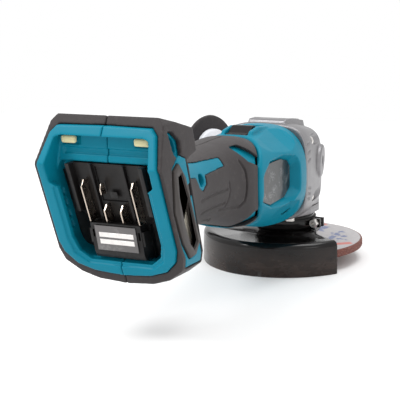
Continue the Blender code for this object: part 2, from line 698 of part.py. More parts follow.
def make_motor_housing():
    steps = 36
    shares = [0.0, 0.08, 0.3, 0.55, 0.8, 0.95, 1.0]
    outer = [housing_ring(s, 1.6 if s in (0.0, 1.0) else 0.0, steps) for s in shares]
    inner = [housing_ring(s, WALL + 0.6, steps) for s in (1.0, 0.7, 0.35, 0.0)]
    housing = finish_object("motor_housing", grid_mesh(outer + inner, True, False), "teal")
    web_rings = []
    for y in (-61.0, -58.5):
        web_rings.append(housing_section(y, 1.8, steps))
    web = finish_object("cup_web", grid_mesh(web_rings, False, True), None)
    cup = turned("motor_cup", [(0, CUP_REAR), (13.0, CUP_REAR), (13.0, CUP_BACK), (CUP_RADIUS, CUP_BACK),
                               (CUP_RADIUS, -60.0), (0, -60.0)], (0, 0, MOTOR_Z), (0, 1, 0), steps=32)
    bore = turned("cup_bore", [(0, CUP_REAR + 2.4), (9.6, CUP_REAR + 2.4), (9.6, CUP_BACK + 2.4),
                               (STATOR_RADIUS + 0.2, CUP_BACK + 2.4), (STATOR_RADIUS + 0.2, -50),
                               (0, -50)], (0, 0, MOTOR_Z), (0, 1, 0), steps=30)
    join(housing, web, cup)
    for side in (-1, 1):
        pad = side_prism(f"label_pad_{side + 1}", label_outline(2.6), 21.0, 45.0, side)
        join(housing, keep_inside(pad, housing_core(f"side_{side + 1}", (-56.0, -75.0, -92.0, -106.0, -122.0))))
        cheek = prism(f"cheek_{side + 1}", rounded([(-99.0, 104.0), (-58.0, 104.0), (-62.0, 118.8),
                                                   (-80.0, 120.4), (-93.0, 118.6), (-99.0, 113.5)], 2.0),
                      side * 7.0, side * (KNOB_HALF + 4.6), "x")
        join(housing, cheek)
    cut(housing, bore)
    for side in (-1, 1):
        cut(housing, label_pocket(side))
    knob_space = block("knob_space", (-KNOB_HALF - 1.0, KNOB_REAR - 1.4, KNOB_SEAT),
                       (KNOB_HALF + 1.0, KNOB_FRONT + SWITCH_TRAVEL + 1.4, 135), corner=2.0)
    slot = block("stem_slot", (-STEM_HALF - 0.6, STEM_REAR - 0.8, 100),
                 (STEM_HALF + 0.6, STEM_FRONT + SWITCH_TRAVEL + 0.8, 130))
    cut(housing, knob_space, slot)
    for k, (x, z) in enumerate(head_screw_places()):
        post = rod(f"screw_post_{k}", 4.6, (x * 0.97, SEAM_Y - 0.4, z), (x * 0.97, -57.0, z), steps=12)
        hole = rod(f"screw_post_hole_{k}", 2.5, (x, SEAM_Y + 5, z), (x, -54.0, z), steps=12)
        join(housing, keep_inside(post, housing_core(f"post_{k}", (SEAM_Y - 0.6, -52.0, -60.0))))
        cut(housing, hole)


def housing_core(name, stations):
    """The motor housing's outside without its hollow, a little smaller, to trim what is joined to it."""
    steps = 34
    rings = [housing_section(y, 1.8, steps) for y in stations]
    return finish_object("housing_core_" + name, grid_mesh(rings, False, True), None)


def label_pocket(side):
    """Shallow pocket for the side label: its floor leans in towards the handle."""
    outline = label_outline(0.5)
    rings = []
    for depth in (0.0, 12.0):
        rings.append([(side * (label_floor(y) + depth), y, z) for y, z in outline])
    return finish_object(f"label_pocket_{side + 1}", grid_mesh(rings, False, True), None)


def label_floor(y):
    """X of the label pocket's floor at y: nearly flush at the collar, deep at the front."""
    return lerp(LABEL_FLOOR_REAR, LABEL_FLOOR_FRONT, (y - LABEL_REAR) / (LABEL_FRONT - LABEL_REAR))


def label_outline(grow):
    rear, front = LABEL_REAR - grow, LABEL_FRONT + grow
    points = [(rear, 71.0), (-102.0, 65.5 - grow), (front - 11.0, 66.5 - grow), (front, 73.0),
              (front, 88.6), (front - 5.0, 93.6), (-82.0, 97.4 + grow), (-104.0, 97.0 + grow), (rear, 89.0)]
    return rounded(points, 2.0, 2)


def make_side_labels():
    for side, name in ((1, "side_label_right"), (-1, "side_label_left")):
        outline = label_outline(-0.3)
        rings = []
        for depth in (GAP, GAP + 0.8):
            rings.append([(side * (label_floor(y) + depth), y, z) for y, z in outline])
        finish_object(name, grid_mesh(rings, False, True), "plate")


def make_baffle():
    steps = 32
    rings = [housing_section(y, WALL + 1.0, steps) for y in (-48.0, -46.0)]
    baffle = finish_object("baffle_plate", grid_mesh(rings, False, True), "black")
    cut(baffle, rod("baffle_hole", 20.0, (0, -52, MOTOR_Z), (0, -42, MOTOR_Z), steps=26))
    for k, (x, z) in enumerate(head_screw_places()):
        cut(baffle, rod(f"baffle_notch_{k}", 6.4, (x, -52, z), (x, -42, z), steps=12))


def pinion_tooth(step):
    """Angle of each of a tooth's four edges; one tooth points down into the ring gear's gap."""
    tooth, edge = divmod(step, 4)
    frame = axis_frame((0, 0, 0), (0, 1, 0))
    down = frame.inverted() @ Vector((0, 0, -1))
    centre = math.atan2(down.y, down.x) + 2 * math.pi * tooth / PINION_TEETH
    angle = centre + math.radians((-9.5, -3.8, 3.8, 9.5)[edge])
    raised = edge in (1, 2)

    def move(index, radius, along):
        if raised and index in (3, 4):
            scale = -along / RING_PITCH
            radius += (ADDENDUM + DEDENDUM) * scale
        return radius, along
    return angle, move


def make_rotor():
    origin, axis = (0, 0, MOTOR_Z), (0, 1, 0)
    small = (RING_PITCH - TOOTH_LENGTH) / RING_PITCH
    root = PINION_PITCH - DEDENDUM
    profile = [(3.2, -RING_PITCH - 5.0), (5.8, -RING_PITCH - 5.0), (5.8, -RING_PITCH - 0.4),
               (root, -RING_PITCH), (root * small, -RING_PITCH + TOOTH_LENGTH),
               (3.2, -RING_PITCH + TOOTH_LENGTH)]
    pinion = turned("pinion", profile, origin, axis, "steel", PINION_TEETH * 4, pinion_tooth)
    shaft = [(0, CUP_REAR + 3.0), (2.95, CUP_REAR + 3.0), (2.95, CUP_REAR + 10.0), (4.0, CUP_REAR + 10.0),
             (4.0, -45.0), (4.9, -45.0), (4.9, -32.0), (3.0, -32.0), (3.0, -RING_PITCH + TOOTH_LENGTH + 1.5),
             (0, -RING_PITCH + TOOTH_LENGTH + 1.5)]
    spinning = [pinion, turned("rotor_shaft", shaft, origin, axis, "steel", 20)]
    core = [(4.2, STATOR_REAR + 5), (STATOR_BORE - 0.6, STATOR_REAR + 5),
            (STATOR_BORE - 0.6, STATOR_FRONT - 3), (4.2, STATOR_FRONT - 3)]
    spinning.append(turned("rotor_core", core, origin, axis, "steel", 24))
    blades = 11

    def blade(step):
        index, edge = divmod(step, 4)
        angle = 2 * math.pi * index / blades + math.radians((-7.0, -5.0, 5.0, 7.0)[edge])
        raised = edge in (1, 2)

        def move(point, radius, along):
            return (radius, along + 4.5) if raised and point in (3, 4) else (radius, along)
        return angle, move
    fan = [(4.3, -56.8), (4.3, -49.0), (12.0, -49.0), (13.0, -54.8), (FAN_RADIUS, -54.8),
           (FAN_RADIUS, -56.8)]
    spinning.append(turned("cooling_fan", fan, origin, axis, "black", blades * 4, blade))
    for piece in spinning:
        move_origin(piece, origin)
    stator = [(STATOR_BORE, STATOR_REAR + 4), (15.0, STATOR_REAR), (22.0, STATOR_REAR),
              (22.5, STATOR_REAR + 4), (STATOR_RADIUS, STATOR_REAR + 4.5), (STATOR_RADIUS, STATOR_FRONT - 4.5),
              (22.5, STATOR_FRONT - 4), (22.0, STATOR_FRONT), (15.0, STATOR_FRONT),
              (STATOR_BORE, STATOR_FRONT - 4)]
    turned("stator", stator, origin, axis, "copper", 24)
    bearing("rotor_bearing_rear", 3.1, 9.4, CUP_REAR + 2.8, 6.0, origin, axis)


def make_slide_switch():
    """Knob on top of the motor housing; a push rod below it works the switch in the handle."""
    low, high = KNOB_SEAT + GAP, KNOB_SEAT + 7.4
    side = rounded([(KNOB_REAR, low), (KNOB_FRONT, low), (KNOB_FRONT, low + 1.8),
                    (KNOB_CREST + 1.5, high), (KNOB_CREST - 1.5, high), (KNOB_REAR + 5.0, low + 2.6),
                    (KNOB_REAR, low + 2.2)], [0.4, 0.4, 0.8, 1.0, 1.0, 3.0, 1.0], 2)
    knob = prism("slide_switch_knob", side, -KNOB_HALF, KNOB_HALF, "x", "black")
    stem = block("knob_stem", (-STEM_HALF, STEM_REAR, 109.3), (STEM_HALF, STEM_FRONT, low + 1.5))
    join(knob, stem)
    block("switch_rod", (-STEM_HALF, -119.0, 104.6), (STEM_HALF, STEM_FRONT, 109.0), "black")
    body = block("switch_body", (-12.0, -150.0, 84.0), (12.0, -119.4, 110.0), "black", 1.5)
    return bevelled(body, 0.8)


# ---------------------------------------------------------------- handle

def handle_ring(share, inset, reach):
    """Half ring of the handle, from bottom to top on the right, between collar (0) and base (1)."""
    ring = []
    for k in range(HANDLE_STEPS + 1):
        angle = -math.pi / 2 + math.pi * k / HANDLE_STEPS
        front = COLLAR_Y - 4 * GAP - COLLAR_SWEEP * math.cos(angle) ** 2
        middle = oval_point(HANDLE, HANDLE_REAR, angle, HANDLE_SQUARE, inset)
        y = lerp(front, base_front(middle.z) + 0.9, min(share, 1.0)) + (reach if share > 1.0 else 0.0)
        point = oval_point(HANDLE, y, angle, HANDLE_SQUARE, inset)
        ring.append(Vector((max(point.x, GAP / 2), point.y, point.z)))
    return ring


def half_tube(name, outside, inside, reach, shares, side, colour):
    """Half of a tube that follows the handle; a share over 1 goes past its end by reach."""
    rings = []
    for share in shares:
        outer = handle_ring(share, outside, reach)
        inner = handle_ring(share, inside, reach)
        ring = outer + inner[::-1]
        rings.append([Vector((side * p.x, p.y, p.z)) for p in ring])
    bm = grid_mesh(rings, False, False)
    bm.verts.ensure_lookup_table()
    count = len(rings[0])
    for first in (0, len(bm.verts) - count):
        for k in range(HANDLE_STEPS):
            corners = (k, k + 1, count - 2 - k, count - 1 - k)
            bm.faces.new([bm.verts[first + corner] for corner in corners])
    return finish_object(name, bm, colour)


def rear_at(z):
    """The lower rear plane of the base, carried on past the kink."""
    return KINK_Y + (KINK_Z - z) * BASE_LEAN


def base_rear(z):
    """Y of the base's rear face at height z."""
    return rear_at(z) if z < KINK_Z else KINK_Y + (z - KINK_Z) * 0.52


def base_front(z):
    return KINK_Y + BASE_DEPTH + (KINK_Z - min(z, KINK_Z + 4)) * 0.29


def base_outline(grow_side, grow_ends):
    """Half outline of the base seen from behind, right side."""
    half, low, high = BASE_HALF + grow_side, BASE_BOTTOM - grow_ends, BASE_TOP + grow_ends
    points = [(0.15, low), (20.0, low + 1.6), (32.0, low + 5.5), (half - 2.5, low + 13.0),
              (half, low + 21.0), (half, KINK_Z - 2), (half - 5.0, high - 5.0), (half - 9.0, high - 0.6),
              (0.15, high)]
    return points


def base_roof(y, grow):
    """Height of the base's top, which falls towards the front, at y."""
    return BASE_TOP + grow + 1.0 - (y - base_rear(BASE_TOP)) * 0.30


def base_profile(grow_rear, grow_ends, front_extra):
    """Side view of the base, as (y, z)."""
    low, high = BASE_BOTTOM - grow_ends - 1.0, BASE_TOP + grow_ends
    front = base_front(KINK_Z) + front_extra
    rear_top, ear = base_rear(high) - grow_rear, front + 15.0
    return [(base_rear(low) - grow_rear, low), (KINK_Y - grow_rear, KINK_Z),
            (rear_top, base_roof(rear_top, grow_ends)), (ear, base_roof(ear, grow_ends)),
            (ear, KINK_Z + 5.0), (front, KINK_Z + 1.0), (base_front(low) + front_extra, low + 4.0),
            (base_front(low) - 3.0 + front_extra, low)]


def base_solid(name, grow_side, grow_ends, grow_rear, front_extra, side, colour=None):
    outline = [(side * x, z) for x, z in base_outline(grow_side, grow_ends)]
    body = prism(name, outline, -320, -210, "y", colour)
    profile = base_profile(grow_rear, grow_ends, front_extra)
    return keep_inside(body, prism(name + "_profile", profile, -80, 80, "x"))


def sheared(name, outline, depths, colour=None):
    """A shape of (x, z) outline points between two depths measured forward from the rear face."""
    rings = [[(x, rear_at(z) + depth, z) for x, z in outline] for depth in depths]
    return finish_object(name, grid_mesh(rings, False, True), colour)


def side_window(grow):
    """Opening in the bumper that shows the base's side panel, as (y, z)."""
    points = [(-279.8, 122.5), (-268.5, 130.0), (-259.5, 127.0), (-230.0, 127.0), (-230.0, 57.5),
              (-261.5, 57.5), (-263.5, 62.5), (-270.4, 75.0), (-279.4, 97.0)]
    middle = Vector((-262.0, 95.0))
    return [middle + (Vector(p) - middle) * (1 + grow / 30.0) for p in points]


def cover_outline(grow):
    """Outline of the dust cover, as (y, z)."""
    points = [(-278.8, 121.0), (-272.4, 125.0), (-264.0, 115.5), (-251.0, 83.0), (-246.6, 72.5),
              (-252.4, 65.0), (-259.8, 64.0), (-269.0, 75.5), (-278.2, 96.0)]
    middle = Vector((-263.0, 95.0))
    return [middle + (Vector(p) - middle) * (1 + grow / 22.0) for p in points]


def around_middle(points, grow):
    middle = sum((Vector(p) for p in points), Vector((0, 0))) / len(points)
    return [Vector(p) + (Vector(p) - middle).normalized() * grow for p in points]


def side_prism(name, outline, low, high, side, colour=None):
    return prism(name, outline, side * low, side * high, "x", colour)


def make_shell(side, name):
    """One half of the handle with its half of the battery base."""
    shares = HANDLE_SHARES + [1.01]
    outside, inside = RUBBER + GAP, RUBBER + GAP + WALL
    shell = half_tube(f"handle_shell_{name}", outside, inside, -9.0, shares, side, "teal")
    base = base_solid(f"base_body_{name}", 0.0, 0.0, 0.0, -0.6, side)
    panel = side_prism(f"side_panel_{name}", side_window(-0.5), BASE_HALF - 4.0, BASE_HALF + 2.3, side)
    front = base_solid(f"panel_trim_{name}", 9.0, 4.0, 0.0, -0.6, side)
    stripe = half_tube(f"stripe_{name}", 0.5, outside + 0.6, 0.0, HANDLE_SHARES, side, None)
    keep_inside(stripe, side_prism(f"stripe_trim_{name}", around_middle(STRIPE, -GAP), 8.0, 60.0, side))
    join(shell, base, keep_inside(panel, front), stripe)
    y, z = GRIP_SCREW
    half = smooth_station(HANDLE, y)[0]
    join(shell, rod(f"grip_post_{name}", 4.6, (side * (half - 3.6), y, z), (side * GAP / 2, y, z), steps=14))
    step = RECESS_HALF - 4.5
    deep = [(-1.0, 60.0), (24.0, 60.5), (33.5, 66.0), (RECESS_HALF, 72.0), (RECESS_HALF, 118.0),
            (RECESS_HALF - 2.0, 124.0), (-1.0, 124.0)]
    mouth = [(-1.0, 59.0), (22.0, 59.2), (29.5, 65.0), (step, 74.0), (step, 109.0), (RECESS_HALF + 0.1, 112.0),
             (RECESS_HALF + 0.1, 122.0), (33.0, 139.5), (29.0, 141.0), (-1.0, 141.0)]
    shallow = [(-1.0, 118.0), (RECESS_HALF + 0.2, 118.0), (RECESS_HALF + 0.2, 122.0), (33.1, 139.6),
               (29.1, 141.2), (-1.0, 141.2)]
    cut(shell, sheared(f"deep_recess_{name}", [(side * x, z) for x, z in deep], (6.0, RECESS_DEPTH)),
        sheared(f"mouth_{name}", [(side * x, z) for x, z in mouth], (-40.0, 6.6)),
        prism(f"shallow_{name}", [(side * x, z) for x, z in shallow], -320, SHALLOW_Y, "y"),
        side_prism(f"cover_recess_{name}", cover_outline(0.6), COVER_FLOOR, 60.0, side),
        side_prism(f"strap_hole_{name}", STRAP_HOLE, BASE_HALF - 13.0, 60.0, side),
        screw_space(f"grip_screw_{name}", GRIP_SCREW, GRIP_SEAT, side),
        screw_space(f"base_screw_{name}", BASE_SCREW, BASE_SEAT, side))


def screw_space(name, place_yz, seat, side):
    """Hole for a handle screw, with a seat for its head on the right and blind on the left."""
    y, z = place_yz
    profile = [(0, -1.0), (2.4, -1.0), (2.4, seat), (4.3, seat), (4.3, 60.0), (0, 60.0)]
    if side < 0:
        profile = [(0, -1.0), (2.4, -1.0), (2.4, 19.0), (0, 19.0)]
    return turned(name, profile, (0, y, z), (side, 0, 0), steps=13)


def make_rubber(side, name):
    """The soft grip and the soft bumper of one side."""
    cover = half_tube(f"grip_cover_{name}", 0.0, RUBBER, 0.0, HANDLE_SHARES, side, "rubber")
    cut(cover, side_prism(f"stripe_window_{name}", STRIPE, 6.0, 60.0, side))
    bumper = base_solid(f"bumper_{name}", BUMPER_SIDE, BUMPER, -2.0, 0.0, side, "rubber")
    core = base_solid(f"bumper_core_{name}", GAP, GAP, 20.0, 5.0, side)
    cut(bumper, core, side_prism(f"bumper_window_{name}", side_window(0.0), 30.0, 70.0, side),
        side_prism(f"strap_window_{name}", around_middle(STRAP_HOLE, 1.2), 20.0, 70.0, side))


def make_base_fittings(side, name):
    cover = side_prism(f"dust_cover_{name}", cover_outline(0.0), COVER_FLOOR + 1.4, COVER_FACE, side, "black")
    cut(cover, side_prism(f"cover_slot_{name}", COVER_SLOT, 30.0, 70.0, side))
    bevelled(cover, 1.0)
    side_prism(f"dust_mesh_{name}", around_middle(COVER_SLOT, 2.0), COVER_FLOOR + 0.3, COVER_FLOOR + 1.1,
               side, "cream")
    low = (20.5, SHALLOW_Y - 4.0, 135.6)
    high = (31.0, SHALLOW_Y - GAP, 140.6)
    damper = block(f"damper_{name}", (min(side * low[0], side * high[0]), low[1], low[2]),
                   (max(side * low[0], side * high[0]), high[1], high[2]), "cream")
    bevelled(damper, 1.4, 2)


def make_screws():
    for k, ((y, z), seat, length) in enumerate(((GRIP_SCREW, GRIP_SEAT, 28.0), (BASE_SCREW, BASE_SEAT, 36.0))):
        cap_screw(f"handle_screw_{k + 1}", 3.9, 3.0, 2.1, length, (seat + GAP, y, z), (-1, 0, 0))


def make_terminal_block():
    """Battery terminal block: a plate in the recess, a housing for the label and side walls."""
    outline = [(-18.6, 61.4), (18.6, 61.4), (19.6, 84.0), (27.4, 90.0), (27.4, 123.4), (-27.4, 123.4),
               (-27.4, 90.0), (-19.6, 84.0)]
    block_body = sheared("terminal_block", outline, (BLOCK_DEPTH, RECESS_DEPTH - GAP), "black")
    housing = prism("label_housing", [(-273.6, 84.6), (-268.9, 65.5), (-266.4, 61.4), (-252.0, 61.4),
                                      (-262.0, 84.6)], -17.9, 17.9, "x")
    join(block_body, housing)
    for sign in (-1, 1):
        wall = [(sign * 24.4, 91.0), (sign * 27.2, 91.0), (sign * 27.2, 123.2), (sign * 24.4, 123.2)]
        join(block_body, sheared(f"block_wall_{sign + 1}", wall, (9.0, BLOCK_DEPTH + 1.0)))
        rib = [(sign * 10.6, 84.0), (sign * 12.4, 84.0), (sign * 12.4, 123.2), (sign * 10.6, 123.2)]
        join(block_body, sheared(f"block_rib_{sign + 1}", rib, (12.0, BLOCK_DEPTH + 1.0)))
    for name, x, low, high, depth in BLADES:
        half = 0.45
        root = BLOCK_DEPTH - GAP
        rings = [[(bx, rear_at(z) + d, z) for d, z in
                  ((depth, low), (depth, high - 4.0), (depth + 4.5, high), (root, high), (root, low))]
                 for bx in (x - half, x + half)]
        finish_object(name, grid_mesh(rings, False, True), "steel")
    rings = []
    for lift in (GAP, GAP + 0.6):
        rings.append([(x, lerp(-269.2, -273.4, (z - 66.6) / 16.6) - lift, z)
                      for x, z in ((-14.6, 66.6), (14.6, 66.6), (14.6, 83.2), (-14.6, 83.2))])
    finish_object("rating_plate", grid_mesh(rings, False, True), "plate")


def make_controller():
    block("motor_controller", (-14.0, -194.0, 78.0), (14.0, -156.0, 104.0), "aluminium", 3.0)


def make_side_grip():
    """The side grip on the left: threaded stud, metal neck sleeve and rubber grip with its flange."""
    axis, root = grip_axis(-1), grip_point(-1, 0)
    turned("side_grip_stud", [(0, BOSS_FACE - 8.5), (3.4, BOSS_FACE - 8.5), (4.0, BOSS_FACE - 7.9),
                              (4.0, FLANGE_AT + 14.0), (0, FLANGE_AT + 14.0)], root, axis, "steel", 20)
    turned("side_grip_neck", [(4.3, BOSS_FACE + GAP), (11.5, BOSS_FACE + GAP), (12.5, BOSS_FACE + 1.3),
                              (12.5, BOSS_FACE + 10.0), (11.0, BOSS_FACE + 14.0), (11.0, FLANGE_AT - 9.0),
                              (21.4, FLANGE_AT - 4.2), (22.4, FLANGE_AT - 3.0), (22.4, FLANGE_AT - GAP),
                              (4.3, FLANGE_AT - GAP)],
           root, axis, "light", 24)
    flange, length = FLANGE_RADIUS, SIDE_GRIP_LENGTH
    socket = FLANGE_AT + 14.4
    profile = [(0, socket), (4.3, socket), (4.3, FLANGE_AT), (flange - 1.0, FLANGE_AT), (flange, FLANGE_AT + 1.0),
               (flange, FLANGE_AT + 2.6), (flange - 2.4, FLANGE_AT + 4.6), (18.0, FLANGE_AT + 8.0),
               (15.2, FLANGE_AT + 15.0)]
    for k in range(7):
        t = k / 6
        swell = 15.2 + 1.9 * math.sin(math.pi * t)
        profile.append((swell, FLANGE_AT + 15.5 + (length - 24.0) * t))
    profile += [(15.6, FLANGE_AT + length - 6.0), (12.0, FLANGE_AT + length - 1.0), (8.0, FLANGE_AT + length),
                (0, FLANGE_AT + length)]
    turned("side_grip", profile, root, axis, "rubber", 22)


def make_handle():
    for side, name in ((1, "right"), (-1, "left")):
        make_shell(side, name)
        make_rubber(side, name)
        make_base_fittings(side, name)
    make_screws()
    make_terminal_block()
    make_controller()


def main():
    for obj in list(bpy.data.objects):
        bpy.data.objects.remove(obj, do_unlink=True)
    make_spindle()
    make_ring_gear()
    make_inner_flange()
    make_wheel()
    make_lock_nut()
    make_guard()
    make_guard_clamp()
    make_bearing_box()
    make_gear_housing()
    make_shaft_lock()
    make_motor_housing()
    make_side_labels()
    make_baffle()
    make_rotor()
    make_slide_switch()
    make_handle()
    make_side_grip()


main()
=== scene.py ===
"""Looks of the cordless angle grinder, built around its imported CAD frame.

Lengths are in millimetres.  Heights are measured up from the plane of the guard's rim, which lies
ORIGIN_HEIGHT below the frame's origin; place() turns such a point into metres in the frame.
"""
import math

import bmesh
import bpy
from mathutils import Matrix, Vector


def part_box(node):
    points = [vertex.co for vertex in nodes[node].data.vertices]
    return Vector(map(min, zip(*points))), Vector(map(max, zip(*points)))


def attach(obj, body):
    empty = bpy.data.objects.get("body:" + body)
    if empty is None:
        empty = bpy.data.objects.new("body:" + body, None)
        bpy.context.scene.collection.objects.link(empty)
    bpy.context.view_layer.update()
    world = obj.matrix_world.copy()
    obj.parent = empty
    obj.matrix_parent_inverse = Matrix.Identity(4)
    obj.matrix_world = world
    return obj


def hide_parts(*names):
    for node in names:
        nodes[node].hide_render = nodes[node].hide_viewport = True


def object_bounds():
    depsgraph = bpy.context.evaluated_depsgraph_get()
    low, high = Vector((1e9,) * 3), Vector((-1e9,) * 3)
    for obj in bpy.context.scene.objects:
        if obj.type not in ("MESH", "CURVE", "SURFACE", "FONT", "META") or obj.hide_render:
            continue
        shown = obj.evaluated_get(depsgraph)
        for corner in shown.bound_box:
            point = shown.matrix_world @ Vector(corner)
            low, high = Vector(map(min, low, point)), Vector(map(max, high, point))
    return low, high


MM = 0.001
GAP = 0.3
FINE = 96                    # points round the large moulded sections

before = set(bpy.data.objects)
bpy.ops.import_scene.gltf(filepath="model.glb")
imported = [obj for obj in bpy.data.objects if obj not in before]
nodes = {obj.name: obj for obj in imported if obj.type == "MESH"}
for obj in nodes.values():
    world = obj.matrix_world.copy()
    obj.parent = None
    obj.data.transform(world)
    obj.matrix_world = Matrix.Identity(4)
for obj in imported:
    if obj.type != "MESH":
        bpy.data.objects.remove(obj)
cad_low, cad_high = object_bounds()
ORIGIN_HEIGHT = -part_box("wheel_guard")[0].z / MM

# Axes and sections, as in the CAD part: y, half width, bottom, top
MOTOR_Z = 77.0
SEAM_Y, COLLAR_Y, COLLAR_SWEEP = -45.0, -99.0, 24.0
HANDLE = ((-99, 32.6, 49.4, 114.6), (-112, 32.3, 49.8, 116.6), (-128, 30.6, 51.6, 117.6),
          (-142, 28.0, 55.5, 117.7), (-158, 26.3, 60.5, 117.2), (-178, 25.8, 64.5, 116.9),
          (-200, 26.6, 65.8, 117.8), (-220, 29.0, 63.5, 120.6), (-240, 34.0, 58.5, 124.0),
          (-262, 37.0, 56.5, 125.0))
HOUSING = ((-45, 37.0, 40.0, 118.0), (-58, 37.6, 40.0, 118.6), (-75, 36.8, 41.6, 118.0),
           (-90, 35.4, 45.2, 116.6), (-106, 34.0, 48.8, 116.2), (-124, 32.0, 51.0, 117.4))
HEAD = ((-44.5, 36.4, 41.0, 117.2), (-33, 35.4, 41.0, 117.0), (-10, 31.6, 41.5, 113.0),
        (8, 27.8, 42.0, 109.0), (20, 22.8, 44.0, 103.5), (28, 14.0, 50.0, 95.0))
HANDLE_SQUARE, HOUSING_SQUARE, HEAD_SQUARE = 2.5, 2.6, 4.2
HANDLE_REAR = -246.0
WALL, RUBBER = 2.6, 2.3
KNOB_HALF, KNOB_REAR, KNOB_FRONT, KNOB_CREST, KNOB_SEAT = 8.4, -95.5, -68.0, -82.0, 113.6
LABEL_REAR, LABEL_FRONT = -117.0, -63.0
BOX_TOP = 46.0
GUARD_RADIUS, GUARD_SHEET, GUARD_TOP, GUARD_TURN, NECK_RADIUS = 68.6, 2.2, 26.6, -122.0, 21.0
WHEEL_RADIUS, WHEEL_BOTTOM, WHEEL_THICKNESS, WHEEL_DISH = 62.5, 11.0, 6.0, 4.6
GRIP_ROOT, GRIP_SWING, GRIP_LIFT = Vector((34.0, 2.6, 82.0)), 13.0, -3.0
BOSS_RADIUS, BOSS_FACE, FLANGE_AT, FLANGE_RADIUS, GRIP_LENGTH = 13.5, -2.5, 40.5, 34.0, 104.0
KINK_Y, KINK_Z, BASE_LEAN, BASE_DEPTH = -295.3, 124.0, 0.40, 36.0
BASE_HALF, BASE_BOTTOM, BASE_TOP = 42.0, 50.0, 147.3
RECESS_HALF, RECESS_DEPTH, SHALLOW_Y = 36.5, 21.0, -279.3
COVER_SLOT = ((-273.0, 116.0), (-268.2, 117.5), (-260.6, 100.5), (-250.4, 74.0), (-254.8, 69.6),
              (-260.0, 74.5), (-265.8, 89.0), (-271.4, 103.0))
STRIPE = ((-236.0, 117.5), (-200.0, 112.6), (-164.6, 110.4), (-163.8, 104.4), (-195.5, 103.4),
          (-196.5, 97.5), (-203.5, 94.0), (-209.3, 97.3), (-212.5, 104.5), (-232.0, 107.5))
STRAP_HOLE = ((-275.2, 142.6), (-270.5, 141.4), (-266.2, 136.6), (-266.4, 131.8), (-269.8, 129.2),
              (-272.6, 133.0))
GRIP_SCREW, BASE_SCREW = (-203.5, 101.6), (-256.8, 106.0)


# ---------------------------------------------------------------- materials

class Nodes:
    """Short names for building one material's nodes."""

    def __init__(self, name, roughness, metallic, gloss=0.5):
        self.material = bpy.data.materials.new(name)
        self.material.use_nodes = True
        self.tree = self.material.node_tree
        self.shader = self.tree.nodes["Principled BSDF"]
        self.shader.inputs["Roughness"].default_value = roughness
        self.shader.inputs["Metallic"].default_value = metallic
        self.shader.inputs["Specular IOR Level"].default_value = gloss
        self.place = self.add("ShaderNodeTexCoord").outputs["Object"]

    def add(self, kind, **settings):
        node = self.tree.nodes.new(kind)
        for key, value in settings.items():
            setattr(node, key, value)
        return node

    def link(self, source, target):
        self.tree.links.new(source, target)

    def noise(self, scale, detail=3.0, stretch=(1, 1, 1), rough=0.55):
        mapping = self.add("ShaderNodeMapping")
        mapping.inputs["Scale"].default_value = stretch
        self.link(self.place, mapping.inputs["Vector"])
        texture = self.add("ShaderNodeTexNoise")
        texture.inputs["Scale"].default_value = scale
        texture.inputs["Detail"].default_value = detail
        texture.inputs["Roughness"].default_value = rough
        self.link(mapping.outputs["Vector"], texture.inputs["Vector"])
        return texture.outputs["Fac"]

    def cells(self, scale, feature="F1"):
        texture = self.add("ShaderNodeTexVoronoi", feature=feature)
        texture.inputs["Scale"].default_value = scale
        self.link(self.place, texture.inputs["Vector"])
        return texture.outputs["Distance"]

    def ramp(self, source, low, high, start, end):
        node = self.add("ShaderNodeMapRange")
        for key, value in (("From Min", low), ("From Max", high), ("To Min", start), ("To Max", end)):
            node.inputs[key].default_value = value
        self.link(source, node.inputs["Value"])
        return node.outputs["Result"]

    def math(self, operation, first, second):
        node = self.add("ShaderNodeMath", operation=operation)
        for slot, value in enumerate((first, second)):
            if isinstance(value, (int, float)):
                node.inputs[slot].default_value = value
            else:
                self.link(value, node.inputs[slot])
        return node.outputs["Value"]

    def mix(self, factor, first, second):
        node = self.add("ShaderNodeMix", data_type="RGBA")
        if isinstance(factor, (int, float)):
            node.inputs["Factor"].default_value = factor
        else:
            self.link(factor, node.inputs["Factor"])
        for key, value in (("A", first), ("B", second)):
            socket = next(s for s in node.inputs if s.name == key and s.type == "RGBA")
            if isinstance(value, (tuple, list)):
                socket.default_value = (*value, 1.0)
            else:
                self.link(value, socket)
        return next(s for s in node.outputs if s.type == "RGBA")

    def bump(self, height, strength, distance, under=None):
        node = self.add("ShaderNodeBump")
        node.inputs["Strength"].default_value = strength
        node.inputs["Distance"].default_value = distance
        self.link(height, node.inputs["Height"])
        if under is not None:
            self.link(under, node.inputs["Normal"])
        return node.outputs["Normal"]

    def edges(self, low, high):
        """1 on outer edges, 0 on flat faces."""
        pointed = self.add("ShaderNodeNewGeometry").outputs["Pointiness"]
        return self.ramp(pointed, low, high, 0.0, 1.0)

    def finish(self, colour, rough=None, normal=None):
        self.link(colour, self.shader.inputs["Base Color"])
        if rough is not None:
            self.link(rough, self.shader.inputs["Roughness"])
        if normal is not None:
            self.link(normal, self.shader.inputs["Normal"])
        return self.material


def shade(colour, factor):
    return tuple(min(1.0, c * factor) for c in colour)


